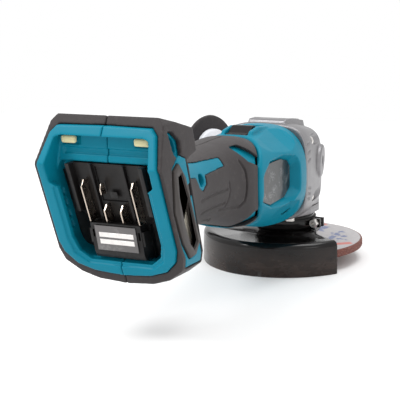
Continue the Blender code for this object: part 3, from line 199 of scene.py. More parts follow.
def moulded_plastic(name, colour, roughness, grain=2600.0, relief=0.16, wear=0.22, spread=0.10,
                    gloss=0.2):
    """Moulded plastic: spark-eroded grain, slow colour drift, and rubbed edges."""
    n = Nodes(name, roughness, 0.0, gloss)
    drift = n.noise(38.0, 4.0)
    fine = n.noise(grain, 2.0)
    scuff = n.noise(420.0, 6.0, (1, 0.25, 1), 0.7)
    base = n.mix(drift, shade(colour, 1 - spread), shade(colour, 1 + spread))
    rubbed = n.math("MULTIPLY", n.edges(0.53, 0.62), n.ramp(scuff, 0.42, 0.62, 0.2, wear + 0.2))
    tint = n.mix(rubbed, base, shade(tuple(c + 0.03 for c in colour), 1.5))
    rough = n.ramp(n.math("ADD", n.math("MULTIPLY", fine, 0.5), n.math("MULTIPLY", scuff, 0.5)),
                   0.3, 0.7, roughness - 0.07, roughness + 0.08)
    return n.finish(tint, rough, n.bump(fine, relief, 0.00012))


def soft_rubber(name, colour):
    """Overmoulded rubber: matt, with a fine pebbled skin and pale dust in it."""
    n = Nodes(name, 0.62, 0.0, 0.2)
    drift = n.noise(30.0, 4.0)
    pebble = n.cells(1500.0)
    fine = n.noise(3200.0, 2.0)
    dust = n.noise(160.0, 8.0, (1, 1, 1), 0.72)
    base = n.mix(drift, shade(colour, 0.90), shade(colour, 1.12))
    dusty = n.mix(n.ramp(dust, 0.52, 0.74, 0.0, 0.20), base, (0.16, 0.145, 0.14))
    wear_and_sheen = n.mix(n.math("MULTIPLY", n.edges(0.53, 0.64), 0.22), dusty, shade(colour, 2.0))
    rough = n.ramp(dust, 0.3, 0.7, 0.54, 0.70)
    normal = n.bump(pebble, 0.40, 0.00016, n.bump(fine, 0.16, 0.00008))
    n.shader.inputs["Sheen Weight"].default_value = 0.04
    return n.finish(wear_and_sheen, rough, normal)


def metal(name, colour, roughness, grain=1400.0, relief=0.10, stretch=(1, 1, 1), stain=0.16):
    """Bare metal: grain or brushing, a little staining, brighter edges."""
    n = Nodes(name, roughness, 1.0)
    drift = n.noise(60.0, 5.0)
    fine = n.noise(grain, 3.0, stretch)
    base = n.mix(drift, shade(colour, 1 - stain), shade(colour, 1 + stain))
    bright = n.mix(n.math("MULTIPLY", n.edges(0.52, 0.60), 0.5), base, shade(colour, 1.5))
    rough = n.ramp(fine, 0.3, 0.7, roughness - 0.08, roughness + 0.10)
    return n.finish(bright, rough, n.bump(fine, relief, 0.0001))


def cast_metal(name, colour):
    """Blasted aluminium casting with a granular skin and faint flow marks."""
    n = Nodes(name, 0.42, 0.82)
    skin = n.cells(1150.0)
    fine = n.noise(2400.0, 3.0)
    flow = n.noise(70.0, 6.0, (1, 0.5, 1), 0.6)
    base = n.mix(flow, shade(colour, 0.86), shade(colour, 1.12))
    # Colour made darker in the hollows, where the pointiness is low, and lighter on the outer edges.
    darker_in_hollows = n.mix(n.ramp(n.edges(0.42, 0.49), 0.0, 1.0, 0.35, 0.0), base, shade(colour, 0.35))
    bright = n.mix(n.math("MULTIPLY", n.edges(0.53, 0.61), 0.45), darker_in_hollows, shade(colour, 1.5))
    rough = n.ramp(flow, 0.3, 0.7, 0.36, 0.50)
    return n.finish(bright, rough, n.bump(skin, 0.22, 0.0001, n.bump(fine, 0.2, 0.0001)))


def painted_guard(name):
    """Black coating on pressed steel: glossy, with orange peel and a soft painted brown sheen low down."""
    n = Nodes(name, 0.22, 0.0, 0.24)
    peel = n.noise(520.0, 2.0)
    sheen_noise = n.noise(34.0, 6.0, (1, 1, 2.2), 0.62)
    height = n.add("ShaderNodeSeparateXYZ")
    n.link(n.place, height.inputs["Vector"])
    # Painted sheen: a soft brown sheen is painted into the colour low down on the skirt, in blotches, and
    # the skirt is made rougher there.
    low = n.ramp(height.outputs["Z"], (25.0 - ORIGIN_HEIGHT) * MM, (8.0 - ORIGIN_HEIGHT) * MM, 0.0, 1.0)
    wear_and_sheen = n.math("MULTIPLY", low, n.ramp(sheen_noise, 0.40, 0.66, 0.25, 1.0))
    base = n.mix(wear_and_sheen, (0.0035, 0.0030, 0.0030), (0.040, 0.026, 0.021))
    edge = n.mix(n.math("MULTIPLY", n.edges(0.55, 0.66), 0.35), base, (0.17, 0.16, 0.155))
    rough = n.ramp(wear_and_sheen, 0.0, 1.0, 0.16, 0.36)
    n.shader.inputs["Coat Weight"].default_value = 0.08
    n.shader.inputs["Coat Roughness"].default_value = 0.12
    return n.finish(edge, rough, n.bump(peel, 0.05, 0.0002))


def abrasive_wheel(name):
    """Grit body with a printed paper disc: grey ground, salmon bands, blue-grey mottled print."""
    n = Nodes(name, 0.75, 0.0)
    split = n.add("ShaderNodeSeparateXYZ")
    n.link(n.place, split.inputs["Vector"])
    x, y = split.outputs["X"], split.outputs["Y"]
    radius = n.math("SQRT", n.math("ADD", n.math("MULTIPLY", x, x), n.math("MULTIPLY", y, y)), 0.0)
    grit = n.cells(900.0)
    speck = n.noise(1300.0, 2.0)
    body = n.mix(n.ramp(grit, 0.1, 0.55, 0.0, 1.0), (0.24, 0.085, 0.062), (0.115, 0.040, 0.032))
    body = n.mix(n.ramp(speck, 0.60, 0.68, 0.0, 0.7), body, (0.46, 0.30, 0.25))
    paper = n.mix(n.noise(240.0, 5.0), (0.36, 0.345, 0.35), (0.47, 0.455, 0.46))
    blotch = n.noise(95.0, 3.0, (1, 1, 0.01), 0.5)
    ring = n.math("MULTIPLY", n.ramp(radius, 0.034, 0.036, 0.0, 1.0),
                  n.ramp(radius, 0.050, 0.052, 1.0, 0.0))
    printed = n.math("MULTIPLY", ring, n.ramp(blotch, 0.50, 0.53, 0.0, 0.85))
    paper = n.mix(printed, paper, (0.115, 0.150, 0.290))
    across = n.math("ADD", n.math("MULTIPLY", x, 0.80), n.math("MULTIPLY", y, 0.60))
    along = n.math("SUBTRACT", n.math("MULTIPLY", y, 0.80), n.math("MULTIPLY", x, 0.60))
    for side in (-1, 1):
        near = n.math("ABSOLUTE", n.math("SUBTRACT", along, side * 0.036), 0.0)
        band = n.math("MULTIPLY", n.ramp(near, 0.0032, 0.0038, 0.9, 0.0),
                      n.ramp(n.math("ABSOLUTE", across, 0.0), 0.044, 0.046, 1.0, 0.0))
        paper = n.mix(band, paper, (0.52, 0.150, 0.125))
    shown = n.math("MULTIPLY", n.ramp(radius, 0.0605, 0.0612, 1.0, 0.0),
                   n.ramp(n.noise(900.0, 3.0), 0.66, 0.70, 1.0, 0.35))
    geometry = n.add("ShaderNodeNewGeometry")
    facing = n.add("ShaderNodeSeparateXYZ")
    n.link(geometry.outputs["True Normal"], facing.inputs["Vector"])
    upward = n.ramp(facing.outputs["Z"], 0.5, 0.7, 0.0, 1.0)
    colour = n.mix(n.math("MULTIPLY", shown, upward), body, paper)
    rough = n.ramp(shown, 0.0, 1.0, 0.92, 0.62)
    return n.finish(colour, rough, n.bump(grit, 0.55, 0.0004, n.bump(speck, 0.3, 0.0002)))


def printed_label(name, ground, marks, scale):
    """Satin label sheet with a plain mottled pattern and no lettering."""
    n = Nodes(name, 0.34, 0.0, 0.3)
    cloud = n.noise(scale, 5.0, (1, 1, 1), 0.6)
    flecks = n.noise(scale * 9.0, 2.0)
    strength = n.math("MULTIPLY", n.ramp(cloud, 0.50, 0.62, 0.0, 1.0),
                      n.ramp(flecks, 0.48, 0.56, 0.10, 0.9))
    colour = n.mix(strength, ground, marks)
    n.shader.inputs["Coat Weight"].default_value = 0.3
    return n.finish(colour, n.ramp(cloud, 0.3, 0.7, 0.28, 0.42), n.bump(flecks, 0.05, 0.00008))


def woven_mesh(name, colour):
    """Fine dust screen: two crossed sets of threads."""
    n = Nodes(name, 0.7, 0.0)
    waves = []
    for direction in ("Y", "Z"):
        wave = n.add("ShaderNodeTexWave", bands_direction=direction)
        wave.inputs["Scale"].default_value = 330.0
        n.link(n.place, wave.inputs["Vector"])
        waves.append(wave.outputs["Fac"])
    weave = n.math("MAXIMUM", waves[0], waves[1])
    tint = n.mix(n.noise(120.0, 4.0), shade(colour, 0.85), shade(colour, 1.15))
    return n.finish(n.mix(n.ramp(weave, 0.3, 0.8, 0.0, 1.0), shade(colour, 0.25), tint),
                    n.ramp(n.noise(400.0), 0.3, 0.7, 0.6, 0.8))


TEAL = moulded_plastic("teal_moulding", (0.0012, 0.165, 0.242), 0.40, relief=0.12, gloss=0.12)
RUBBER_GREY = soft_rubber("rubber_skin", (0.034, 0.0295, 0.0300))
GRIP_RUBBER = soft_rubber("side_grip_skin", (0.026, 0.023, 0.024))
BLACK = moulded_plastic("black_moulding", (0.0075, 0.0066, 0.0066), 0.34, relief=0.10, wear=0.35)
DARK_GREY = moulded_plastic("dark_grey_moulding", (0.040, 0.034, 0.032), 0.40, wear=0.3)
CAST = cast_metal("cast_aluminium_skin", (0.235, 0.230, 0.238))
STEEL = metal("oiled_steel", (0.50, 0.48, 0.46), 0.30)
BRUSHED = metal("turned_steel", (0.44, 0.43, 0.42), 0.28, 900.0, 0.2, (1, 1, 12))
CONTACT = metal("contact_metal", (0.46, 0.39, 0.33), 0.28, 500.0, 0.01, stain=0.08)
LAMINATED = metal("motor_laminations", (0.34, 0.20, 0.12), 0.45, 260.0, 0.5, (0.05, 6, 0.05))
HEAT_SINK = metal("heat_sink_metal", (0.40, 0.40, 0.41), 0.42)
SATIN_WHITE = moulded_plastic("pale_sleeve_skin", (0.60, 0.61, 0.64), 0.34, wear=0.05)
GUARD_BLACK = painted_guard("guard_coating")
WHEEL_SKIN = abrasive_wheel("abrasive_wheel_face")
LABEL = printed_label("side_label_print", (0.010, 0.010, 0.011), (0.150, 0.155, 0.160), 105.0)
PLATE = printed_label("rating_plate_print", (0.105, 0.098, 0.098), (0.160, 0.152, 0.150), 60.0)
PLATE_BAR = printed_label("plain_bar_print", (0.72, 0.69, 0.67), (0.60, 0.57, 0.56), 300.0)
SCREEN = woven_mesh("dust_screen", (0.50, 0.46, 0.38))
DAMPER = moulded_plastic("damper_elastomer", (0.62, 0.57, 0.33), 0.58, 1500.0, 0.4, 0.0, 0.14)


# ---------------------------------------------------------------- shapes

def place(point):
    return Vector((point[0], point[1], point[2] - ORIGIN_HEIGHT)) * MM


def lerp(a, b, t):
    return a + (b - a) * t


def smooth_station(table, y):
    """Half width, bottom and top at y, on a smooth curve through the table's stations."""
    rows = sorted(table)
    y = min(max(y, rows[0][0]), rows[-1][0])
    index = max(i for i, row in enumerate(rows[:-1]) if row[0] <= y)
    low, high = rows[index], rows[index + 1]
    before = rows[index - 1] if index else low
    after = rows[index + 2] if index + 2 < len(rows) else high
    span = high[0] - low[0]
    t = (y - low[0]) / span
    values = []
    for k in (1, 2, 3):
        slope_low = (high[k] - before[k]) / (high[0] - before[0])
        slope_high = (after[k] - low[k]) / (after[0] - low[0])
        values.append((2 * t**3 - 3 * t**2 + 1) * low[k] + (t**3 - 2 * t**2 + t) * span * slope_low
                      + (3 * t**2 - 2 * t**3) * high[k] + (t**3 - t**2) * span * slope_high)
    return values


def oval_point(table, y, angle, power, inset):
    half, bottom, top = smooth_station(table, y)
    wide, high = half - inset, (top - bottom) / 2 - inset
    cos, sin = math.cos(angle), math.sin(angle)
    return Vector((math.copysign(abs(cos) ** (2 / power), cos) * wide, y,
                   (top + bottom) / 2 + math.copysign(abs(sin) ** (2 / power), sin) * high))


def full_ring(table, y, power, inset):
    return [oval_point(table, y, 2 * math.pi * k / FINE, power, inset) for k in range(FINE)]


def surface_x(table, y, z, power):
    """Half width of the section at height z."""
    half, bottom, top = smooth_station(table, y)
    share = min(0.98, abs(z - (top + bottom) / 2) / ((top - bottom) / 2))
    return half * (1 - share ** power) ** (1 / power)


def rounded(points, radius, steps=5):
    count = len(points)
    outline = []
    for i, corner in enumerate(points):
        corner = Vector(corner)
        to_last = Vector(points[i - 1]) - corner
        to_next = Vector(points[(i + 1) % count]) - corner
        half_angle = to_last.angle(to_next) / 2
        reach = min(radius / math.tan(half_angle), 0.48 * to_last.length, 0.48 * to_next.length)
        start, end = corner + to_last.normalized() * reach, corner + to_next.normalized() * reach
        for k in range(steps + 1):
            t = k / steps
            outline.append(start * (1 - t) ** 2 + corner * 2 * t * (1 - t) + end * t ** 2)
    return outline


def around_middle(points, grow):
    middle = sum((Vector(p) for p in points), Vector((0, 0))) / len(points)
    return [Vector(p) + (Vector(p) - middle).normalized() * grow for p in points]


def new_object(name, bm):
    bmesh.ops.recalc_face_normals(bm, faces=bm.faces)
    mesh = bpy.data.meshes.new(name)
    bm.to_mesh(mesh)
    bm.free()
    obj = bpy.data.objects.new(name, mesh)
    bpy.context.scene.collection.objects.link(obj)
    return obj


def lofted(name, rings, wrap=False):
    """A closed body through equal rings; with wrap the last ring joins the first, else both are capped."""
    bm = bmesh.new()
    rows = [[bm.verts.new(place(p)) for p in ring] for ring in rings]
    count = len(rings[0])
    for low, high in list(zip(rows, rows[1:])) + ([(rows[-1], rows[0])] if wrap else []):
        for i in range(count):
            j = (i + 1) % count
            bm.faces.new((low[i], low[j], high[j], high[i]))
    if not wrap:
        bm.faces.new(rows[0][::-1])
        bm.faces.new(rows[-1])
        bmesh.ops.connect_verts_nonplanar(bm, angle_limit=0.0005, faces=bm.faces)
    return new_object(name, bm)


def axis_frame(origin, axis):
    axis = Vector(axis).normalized()
    side = Vector((0, 0, 1)) if abs(axis.z) < 0.9 else Vector((0, 1, 0))
    x = side.cross(axis).normalized()
    matrix = Matrix((x, axis.cross(x), axis)).transposed().to_4x4()
    matrix.translation = Vector(origin)
    return matrix


def turned(name, profile, origin=(0, 0, 0), axis=(0, 0, 1), steps=64, ripple=None):
    """A turned body; ripple(angle, radius, along) may change the radius."""
    matrix = axis_frame(origin, axis)
    solid = profile[0][0] == 0
    rings = []
    for radius, along in profile:
        if radius == 0:
            continue
        ring = []
        for k in range(steps):
            angle = 2 * math.pi * k / steps
            reach = radius if ripple is None else ripple(angle, radius, along)
            ring.append(matrix @ Vector((reach * math.cos(angle), reach * math.sin(angle), along)))
        rings.append(ring)
    return lofted(name, rings, not solid)


def rod(name, radius, start, end, steps=32):
    start, end = Vector(start), Vector(end)
    length = (end - start).length
    return turned(name, [(0, 0), (radius, 0), (radius, length), (0, length)], start, end - start, steps)


def prism(name, outline, low, high, along):
    def at(point, value):
        spots = {"x": (value, point[0], point[1]), "y": (point[0], value, point[1]),
                 "z": (point[0], point[1], value)}
        return spots[along]
    return lofted(name, [[at(point, value) for point in outline] for value in (low, high)])


def box(name, low, high, corner=0.0):
    outline = [(low[0], low[1]), (high[0], low[1]), (high[0], high[1]), (low[0], high[1])]
    return prism(name, rounded(outline, corner) if corner else outline, low[2], high[2], "z")


def path_tube(name, points, radius, outward, sides=10):
    """A thin round body along points, with pointed ends; outward is roughly square to the path."""
    points = [Vector(p) for p in points]
    rings = []
    for i, point in enumerate(points):
        ahead = (points[min(i + 1, len(points) - 1)] - points[max(i - 1, 0)]).normalized()
        side = Vector(outward).cross(ahead).normalized()
        out = ahead.cross(side)
        reach = radius * (0.3 if i in (0, len(points) - 1) else 1.0)
        rings.append([point + (out * math.cos(a) + side * math.sin(a)) * reach
                      for a in (2 * math.pi * (k + 0.37) / sides for k in range(sides))])
    return lofted(name, rings)


def dense(points, step=2.0):
    """The polyline with points at most step apart."""
    out = [Vector(points[0])]
    for a, b in zip(points, points[1:]):
        a, b = Vector(a), Vector(b)
        count = max(1, math.ceil((b - a).length / step))
        out += [a.lerp(b, k / count) for k in range(1, count + 1)]
    return out


def combine(obj, tool, operation):
    modifier = obj.modifiers.new(operation.lower(), "BOOLEAN")
    modifier.operation = operation
    modifier.solver = "EXACT"
    modifier.object = tool
    return obj


def bake(obj):
    """Apply the object's modifiers."""
    bpy.context.view_layer.update()
    mesh = bpy.data.meshes.new_from_object(obj.evaluated_get(bpy.context.evaluated_depsgraph_get()))
    obj.modifiers.clear()
    obj.data = mesh
    return obj


def use_tool(obj, tool, operation):
    """One boolean; where faces touch exactly and the result comes out empty, shift the tool a hair."""
    before = obj.data
    for nudge in (0.0, 0.013, -0.019, 0.031):
        tool.location = Vector((nudge, 0.7 * nudge, 1.3 * nudge)) * MM
        combine(obj, tool, operation)
        bpy.context.view_layer.update()
        result = bpy.data.meshes.new_from_object(obj.evaluated_get(bpy.context.evaluated_depsgraph_get()))
        obj.modifiers.clear()
        if len(result.polygons) > 5:
            obj.data = result
            break
        obj.data = before
    bpy.data.objects.remove(tool)


def worked(obj, cuts=(), joins=(), inside=None):
    """Join, trim and cut the body with helper shapes."""
    for tool in joins:
        use_tool(obj, tool, "UNION")
    if inside is not None:
        use_tool(obj, inside, "INTERSECT")
    for tool in cuts:
        use_tool(obj, tool, "DIFFERENCE")
    return obj


def soften(obj, voxel, rounds, keep):
    """Give a body the small radii of a moulding: fine remesh, smoothing, then fewer faces."""
    remesh = obj.modifiers.new("remesh", "REMESH")
    remesh.mode = "VOXEL"
    remesh.voxel_size = voxel * MM
    smooth = obj.modifiers.new("smooth", "SMOOTH")
    smooth.factor = 0.5
    smooth.iterations = rounds
    fewer = obj.modifiers.new("fewer", "DECIMATE")
    fewer.ratio = keep
    bake(obj)
    obj.data.shade_smooth()
    return obj


def smooth_skin(obj, sharp_angle):
    """Smooth shading with hard edges only where faces meet at more than sharp_angle degrees."""
    obj.data.shade_smooth()
    obj.data.set_sharp_from_angle(angle=math.radians(sharp_angle))
    return obj


def bevelled(obj, width, segments=2, angle=35.0):
    bevel = obj.modifiers.new("bevel", "BEVEL")
    bevel.width = width * MM
    bevel.segments = segments
    bevel.limit_method = "ANGLE"
    bevel.angle_limit = math.radians(angle)
    return smooth_skin(bake(obj), 40)


def piece(obj, material, slot, *stands_for, body="tool_body"):
    """Finish a piece: its material, the body it rides on, and the CAD nodes it stands for; its slot is not
    used.
    """
    obj.data.materials.clear()
    obj.data.materials.append(material)
    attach(obj, body)
    if stands_for:
        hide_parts(*stands_for)
    return obj


# ---------------------------------------------------------------- motor housing and knob

def housing_ring(share, inset):
    ring = []
    for k in range(FINE):
        angle = 2 * math.pi * k / FINE
        y = lerp(SEAM_Y, COLLAR_Y - COLLAR_SWEEP * math.cos(angle) ** 2, share)
        ring.append(oval_point(HOUSING, y, angle, HOUSING_SQUARE, inset))
    return ring


def label_floor(y):
    return lerp(29.2, 28.6, (y - LABEL_REAR) / (LABEL_FRONT - LABEL_REAR))


def label_outline(grow, flare=0.0):
    """Outline of the side label; flare moves its upper, lower and front edges outwards."""
    rear, front = LABEL_REAR - grow, LABEL_FRONT + grow + flare * 0.35
    low, high = 65.5 - grow - flare, 97.2 + grow + flare
    return [(rear, 71.0), (-102.0, low), (front - 11.0, low + 1.0), (front, 73.0 - flare * 0.5),
            (front, 88.6 + flare * 0.3), (front - 5.0, 93.6 + flare * 0.8), (-82.0, high), (-104.0, high),
            (rear, 89.0)]


def label_pocket(side):
    """Pocket with a floor the label lies on and walls that lean outwards."""
    rings = []
    for depth, flare in ((0.0, 0.0), (1.6, 0.4), (12.0, 11.0)):
        rings.append([(side * (label_floor(y) + depth), y, z) for y, z in label_outline(0.5, flare)])
    return lofted("label_pocket", rings)


def housing_core(inset):
    stations = (-57.5, -66.0, -75.0, -84.0, -92.0, -100.0, -107.0, -114.0, -121.0)
    return lofted("housing_core", [full_ring(HOUSING, y, HOUSING_SQUARE, inset) for y in stations])


FACETS = ((((33.2, 101.5), (13.6, 117.4), (40.0, 150.0), (70.0, 101.5)), 0.8),
          (((33.8, 63.0), (19.0, 43.4), (40.0, 10.0), (70.0, 63.0)), -0.8))


def facet_cutter(side, outline, lift):
    """A flat cut along a rounded corner of the housing that runs out at both ends."""
    ends = ((-126.0, 7.0), (-112.0, 1.2), (-95.0, 0.0), (-70.0, 0.0), (-58.0, 1.6), (-50.0, 6.0))
    return lofted("facet", [[(side * (x + out), y, z + out * lift) for x, z in outline] for y, out in ends])


def make_motor_housing():
    shares = [0.0, 0.006, 0.02, 0.05] + [0.05 + 0.9 * k / 16 for k in range(1, 16)]
    shares += [0.95, 0.975, 0.992, 1.0]
    insets = [1.3, 0.6, 0.15, 0.0] + [0.0] * 15 + [0.0, 0.15, 0.7, 1.5]
    rings = [housing_ring(s, i) for s, i in zip(shares, insets)]
    rings += [housing_ring(s, WALL + 0.6) for s in (1.0, 0.75, 0.5, 0.25, 0.0)]
    housing = lofted("motor_housing_looks", rings, True)
    joins = []
    for side in (-1, 1):
        pad = prism("pad", [(y, z) for y, z in label_outline(2.0, 11.0)], side * 25.4, side * 45.0, "x")
        joins.append(worked(pad, inside=housing_core(1.0)))
        side_view = rounded([(-98.0, 104.0), (-58.0, 104.0), (-62.0, 118.6), (-80.0, 120.4), (-93.0, 118.6),
                             (-98.0, 113.5)], 3.0)
        joins.append(bevelled(prism("cheek", side_view, side * 6.0, side * (KNOB_HALF + 4.6), "x"), 1.6, 3))
    cuts = [label_pocket(side) for side in (-1, 1)]
    low, high = (-KNOB_HALF - 1.0, KNOB_REAR - 1.4, KNOB_SEAT), (KNOB_HALF + 1.0, -60.6, 135)
    cuts.append(box("knob_space", low, high, 2.0))
    cuts.append(box("stem_slot", (-4.6, -90.8, 100), (4.6, -75.2, 130)))
    for side in (-1, 1):
        cuts += [facet_cutter(side, outline, lift) for outline, lift in FACETS]
        line = [oval_point(HOUSING, -52.0, math.pi / 2 - side * math.radians(a), HOUSING_SQUARE, 0)
                for a in range(24, 62, 2)]
        cuts.append(path_tube("seam_groove", line, 0.45, (0, 1, 0)))
    worked(housing, cuts, joins)
    soften(housing, 0.62, 3, 0.30)
    piece(housing, TEAL, "teal_plastic", "motor_housing")


def make_knob():
    low, high = KNOB_SEAT + GAP, KNOB_SEAT + 7.4
    side_view = rounded([(KNOB_REAR, low), (KNOB_FRONT, low), (KNOB_FRONT, low + 1.8),
                         (KNOB_CREST + 1.5, high), (KNOB_CREST - 1.5, high), (KNOB_REAR + 5.0, low + 2.6),
                         (KNOB_REAR, low + 2.2)], 0.8)
    knob = prism("switch_knob_looks", side_view, -KNOB_HALF, KNOB_HALF, "x")
    cuts = []
    for k in range(4):
        y = KNOB_CREST + 4.0 + 2.2 * k
        z = low + 1.8 + (high - low - 1.8) * (KNOB_FRONT - y) / (KNOB_FRONT - KNOB_CREST - 1.5)
        cuts.append(rod("rib", 0.65, (-KNOB_HALF + 1.6, y, z + 0.25), (KNOB_HALF - 1.6, y, z + 0.25), 14))
    stem = box("stem", (-4.0, -90.0, 109.3), (4.0, -82.0, low + 1.5))
    worked(knob, cuts, [stem])
    soften(knob, 0.32, 3, 0.35)
    piece(knob, BLACK, "black_plastic", "slide_switch_knob", body="switch_group")


def make_labels():
    for side, name in ((1, "right"), (-1, "left")):
        rings = []
        for depth, grow in ((GAP, -0.3), (GAP + 0.6, -0.3), (GAP + 0.8, -0.5)):
            outline = rounded(label_outline(grow), 2.0)
            rings.append([(side * (label_floor(y) + depth), y, z) for y, z in outline])
        label = smooth_skin(lofted(f"side_label_{name}_looks", rings), 30)
        piece(label, LABEL, "label_sheet", f"side_label_{name}")


# ---------------------------------------------------------------- gear head

def grip_axis(side):
    swing, lift = math.radians(GRIP_SWING), math.radians(GRIP_LIFT)
    level = math.cos(lift)
    return Vector((side * math.cos(swing) * level, math.sin(swing) * level, math.sin(lift)))


def grip_point(side, along):
    return Vector((side * GRIP_ROOT.x, GRIP_ROOT.y, GRIP_ROOT.z)) + grip_axis(side) * along


def box_outline(grow=0.0):
    right = [(17.6, -29.6), (25.4, -9.0), (25.4, 9.0), (17.6, 29.6)]
    outline = right + [(-x, -y) for x, y in right]
    return rounded(around_middle(outline, grow), 6.0)


def head_ring(y, inset, ahead=0.0):
    return [point + Vector((0, ahead, 0)) for point in full_ring(HEAD, y, HEAD_SQUARE, inset)]


def make_gear_housing():
    rings = [head_ring(-44.5, 1.0, -0.2), head_ring(-44.3, 0.3), head_ring(-43.6, 0.0)]
    rings += [head_ring(-43.0 + 71.0 * k / 24, 0.0) for k in range(1, 25)]
    rings += [head_ring(28, 0.9, 1.2), head_ring(28, 2.4, 2.1), head_ring(28, 4.4, 2.6)]
    housing = lofted("gear_housing_looks", rings)
    plate_view = rounded([(-38.5, 106.0), (-38.5, 118.8), (-36.5, 120.0), (-27.0, 119.8), (0.0, 115.2),
                          (4.0, 106.0)], 0.8)
    plate = prism("plate", plate_view, -15.8, 15.8, "x")
    joins = [bevelled(plate, 1.6, 3, 50), prism("skirt", box_outline(), BOX_TOP - 4, BOX_TOP + 7.5, "z")]
    cuts = []
    for side in (-1, 1):
        face = grip_point(side, BOSS_FACE)
        joins.append(turned("boss", [(0, -22), (BOSS_RADIUS + 1.5, -22), (BOSS_RADIUS, -1.2),
                                     (BOSS_RADIUS - 1.2, 0), (0, 0)], face, grip_axis(side)))
        cuts.append(rod("facing", BOSS_RADIUS + 3.5, face, face + grip_axis(side) * 30, 48))
        bottom, mouth = grip_point(side, BOSS_FACE - 9.5), grip_point(side, BOSS_FACE + 6)
        cuts.append(rod("grip_hole", 4.3, bottom, mouth))
        for z in (101.8, 95.6, 89.4, 67.4, 62.8, 58.6):
            lean = 1.2 if z > 80 else -1.0
            line = [(side * (surface_x(HEAD, y, z, HEAD_SQUARE) + 0.1), y, z + lean * (y + 38.0) / 6.0)
                    for y in (-43.2, -40.5, -38.0, -35.5, -32.5)]
            cuts.append(path_tube("engraved", line, 1.15, (side, 0, 0)))
        line = [(side * surface_x(HEAD, 2.0, z, HEAD_SQUARE), 2.0, z)
                for z in (54.0, 57.0, 60.0, 63.0, 66.0)]
        cuts.append(path_tube("flute", line, 0.8, (side, 0, 0)))
        cuts.append(box("plate_step", (min(side * 9.0, side * 13.0), -33.0, 119.2),
                        (max(side * 9.0, side * 13.0), -29.0, 125.0), 0.8))
    cuts.append(box("under", (-60, -43.9, 20), (60, 60, BOX_TOP)))
    cuts.append(turned("cavity", [(0, 30), (23.8, 30), (23.8, 74.5), (8.2, 74.5), (8.2, 95.6), (0, 95.6)]))
    cuts.append(turned("pinion_space", [(0, -50), (14.2, -50), (14.2, -35.0), (9.8, -35.0), (9.8, 1.7),
                                        (0, 1.7)], (0, 0, MOTOR_Z), (0, 1, 0)))
    cuts.append(turned("lock_space", [(0, 70), (2.95, 70), (2.95, 96.1), (5.2, 96.1), (5.2, 101.4),
                                      (7.7, 101.4), (7.7, 125.0), (0, 125.0)], (0.0, 12.2, 0)))
    for x in (-29.0, 29.0):
        for z in (57.5, 102.0):
            cuts.append(turned("screw_pocket", [(0, -60), (2.5, -60), (2.5, -26.0), (4.5, -26.0), (4.5, 60),
                                                (0, 60)], (x, 0, z), (0, 1, 0), 32))
    worked(housing, cuts, joins)
    soften(housing, 0.55, 3, 0.32)
    piece(housing, CAST, "cast_aluminium", "gear_housing")


# ---------------------------------------------------------------- guard, wheel and side grip

def guard_outline():
    ring, outer = NECK_RADIUS + 7.0, GUARD_RADIUS - 5.0
    middle, quarter = math.radians(GUARD_TURN), math.pi / 2
    points = [(outer, middle + (quarter - 0.0105) * (k / 30 - 1)) for k in range(61)]
    shoulders = ((50.0, 0.0), (40.0, 2.0), (34.0, 9.0), (30.0, 19.0))
    points += [(r, middle + quarter + math.radians(turn)) for r, turn in shoulders]
    points += [(ring, middle + quarter + math.radians(34 + 112 * k / 16)) for k in range(17)]
    points += [(r, middle - quarter - math.radians(turn)) for r, turn in shoulders[::-1]]
    return [(r * math.cos(a), r * math.sin(a)) for r, a in points]


def make_guard():
    sheet, top, corner, outer = GUARD_SHEET, GUARD_TOP, 4.5, GUARD_RADIUS
    profile = [(outer - sheet, 0.0), (outer - sheet + 0.5, -0.0), (outer - 0.3, 0.0), (outer, 0.5),
               (outer, 9.0), (outer, top - corner)]
    for k in range(1, 9):
        a = math.pi / 2 * k / 8
        profile.append((outer - corner + corner * math.cos(a), top - corner + corner * math.sin(a)))
    profile += [(outer - corner - 2.0, top), (outer - corner - 2.0, top - sheet)]
    for k in range(5):
        a = math.pi / 2 * (1 - k / 4)
        profile.append((outer - corner + (corner - sheet) * math.cos(a),
                        top - corner + (corner - sheet) * math.sin(a)))
    rings = []
    for k in range(121):
        a = math.radians(GUARD_TURN) - math.pi / 2 + math.pi * k / 120
        rings.append([(r * math.cos(a), r * math.sin(a), z) for r, z in profile])
    guard = lofted("wheel_guard_looks", rings)
    deck = prism("deck", guard_outline(), top - sheet + 0.1, top - 0.1, "z")
    step_profile = [(0, top - 0.6), (38.5, top - 0.6), (37.0, top + 0.55), (0, top + 0.55)]
    step = turned("step", step_profile, steps=FINE)
    smaller = [(x * 0.96, y * 0.96) for x, y in guard_outline()]
    deck_trim = prism("deck_trim", smaller, top - 3, top + 5, "z")
    neck = [(GAP, top - sheet + 0.3), (4.4, top - sheet + 0.3), (4.4, top - 0.3), (3.0, top + 0.6),
            (2.0, top + 2.0), (1.9, 37.6), (1.5, 38.0), (GAP, 38.0)]
    upstand = turned("upstand", [(NECK_RADIUS + out, z) for out, z in neck], steps=FINE)
    worked(guard, [rod("bore", NECK_RADIUS + 2.5, (0, 0, top - 8), (0, 0, top + 8), 61)],
           [deck, worked(step, inside=deck_trim)])
    hole_at = math.radians(GUARD_TURN + 42)
    x, y = 41.0 * math.cos(hole_at), 41.0 * math.sin(hole_at)
    worked(guard, [rod("hole", 2.6, (x, y, top - 6), (x, y, top + 6))], [upstand])
    bevelled(guard, 0.35, 2, 42)
    piece(guard, GUARD_BLACK, "guard_paint", "wheel_guard", body="guard_group")


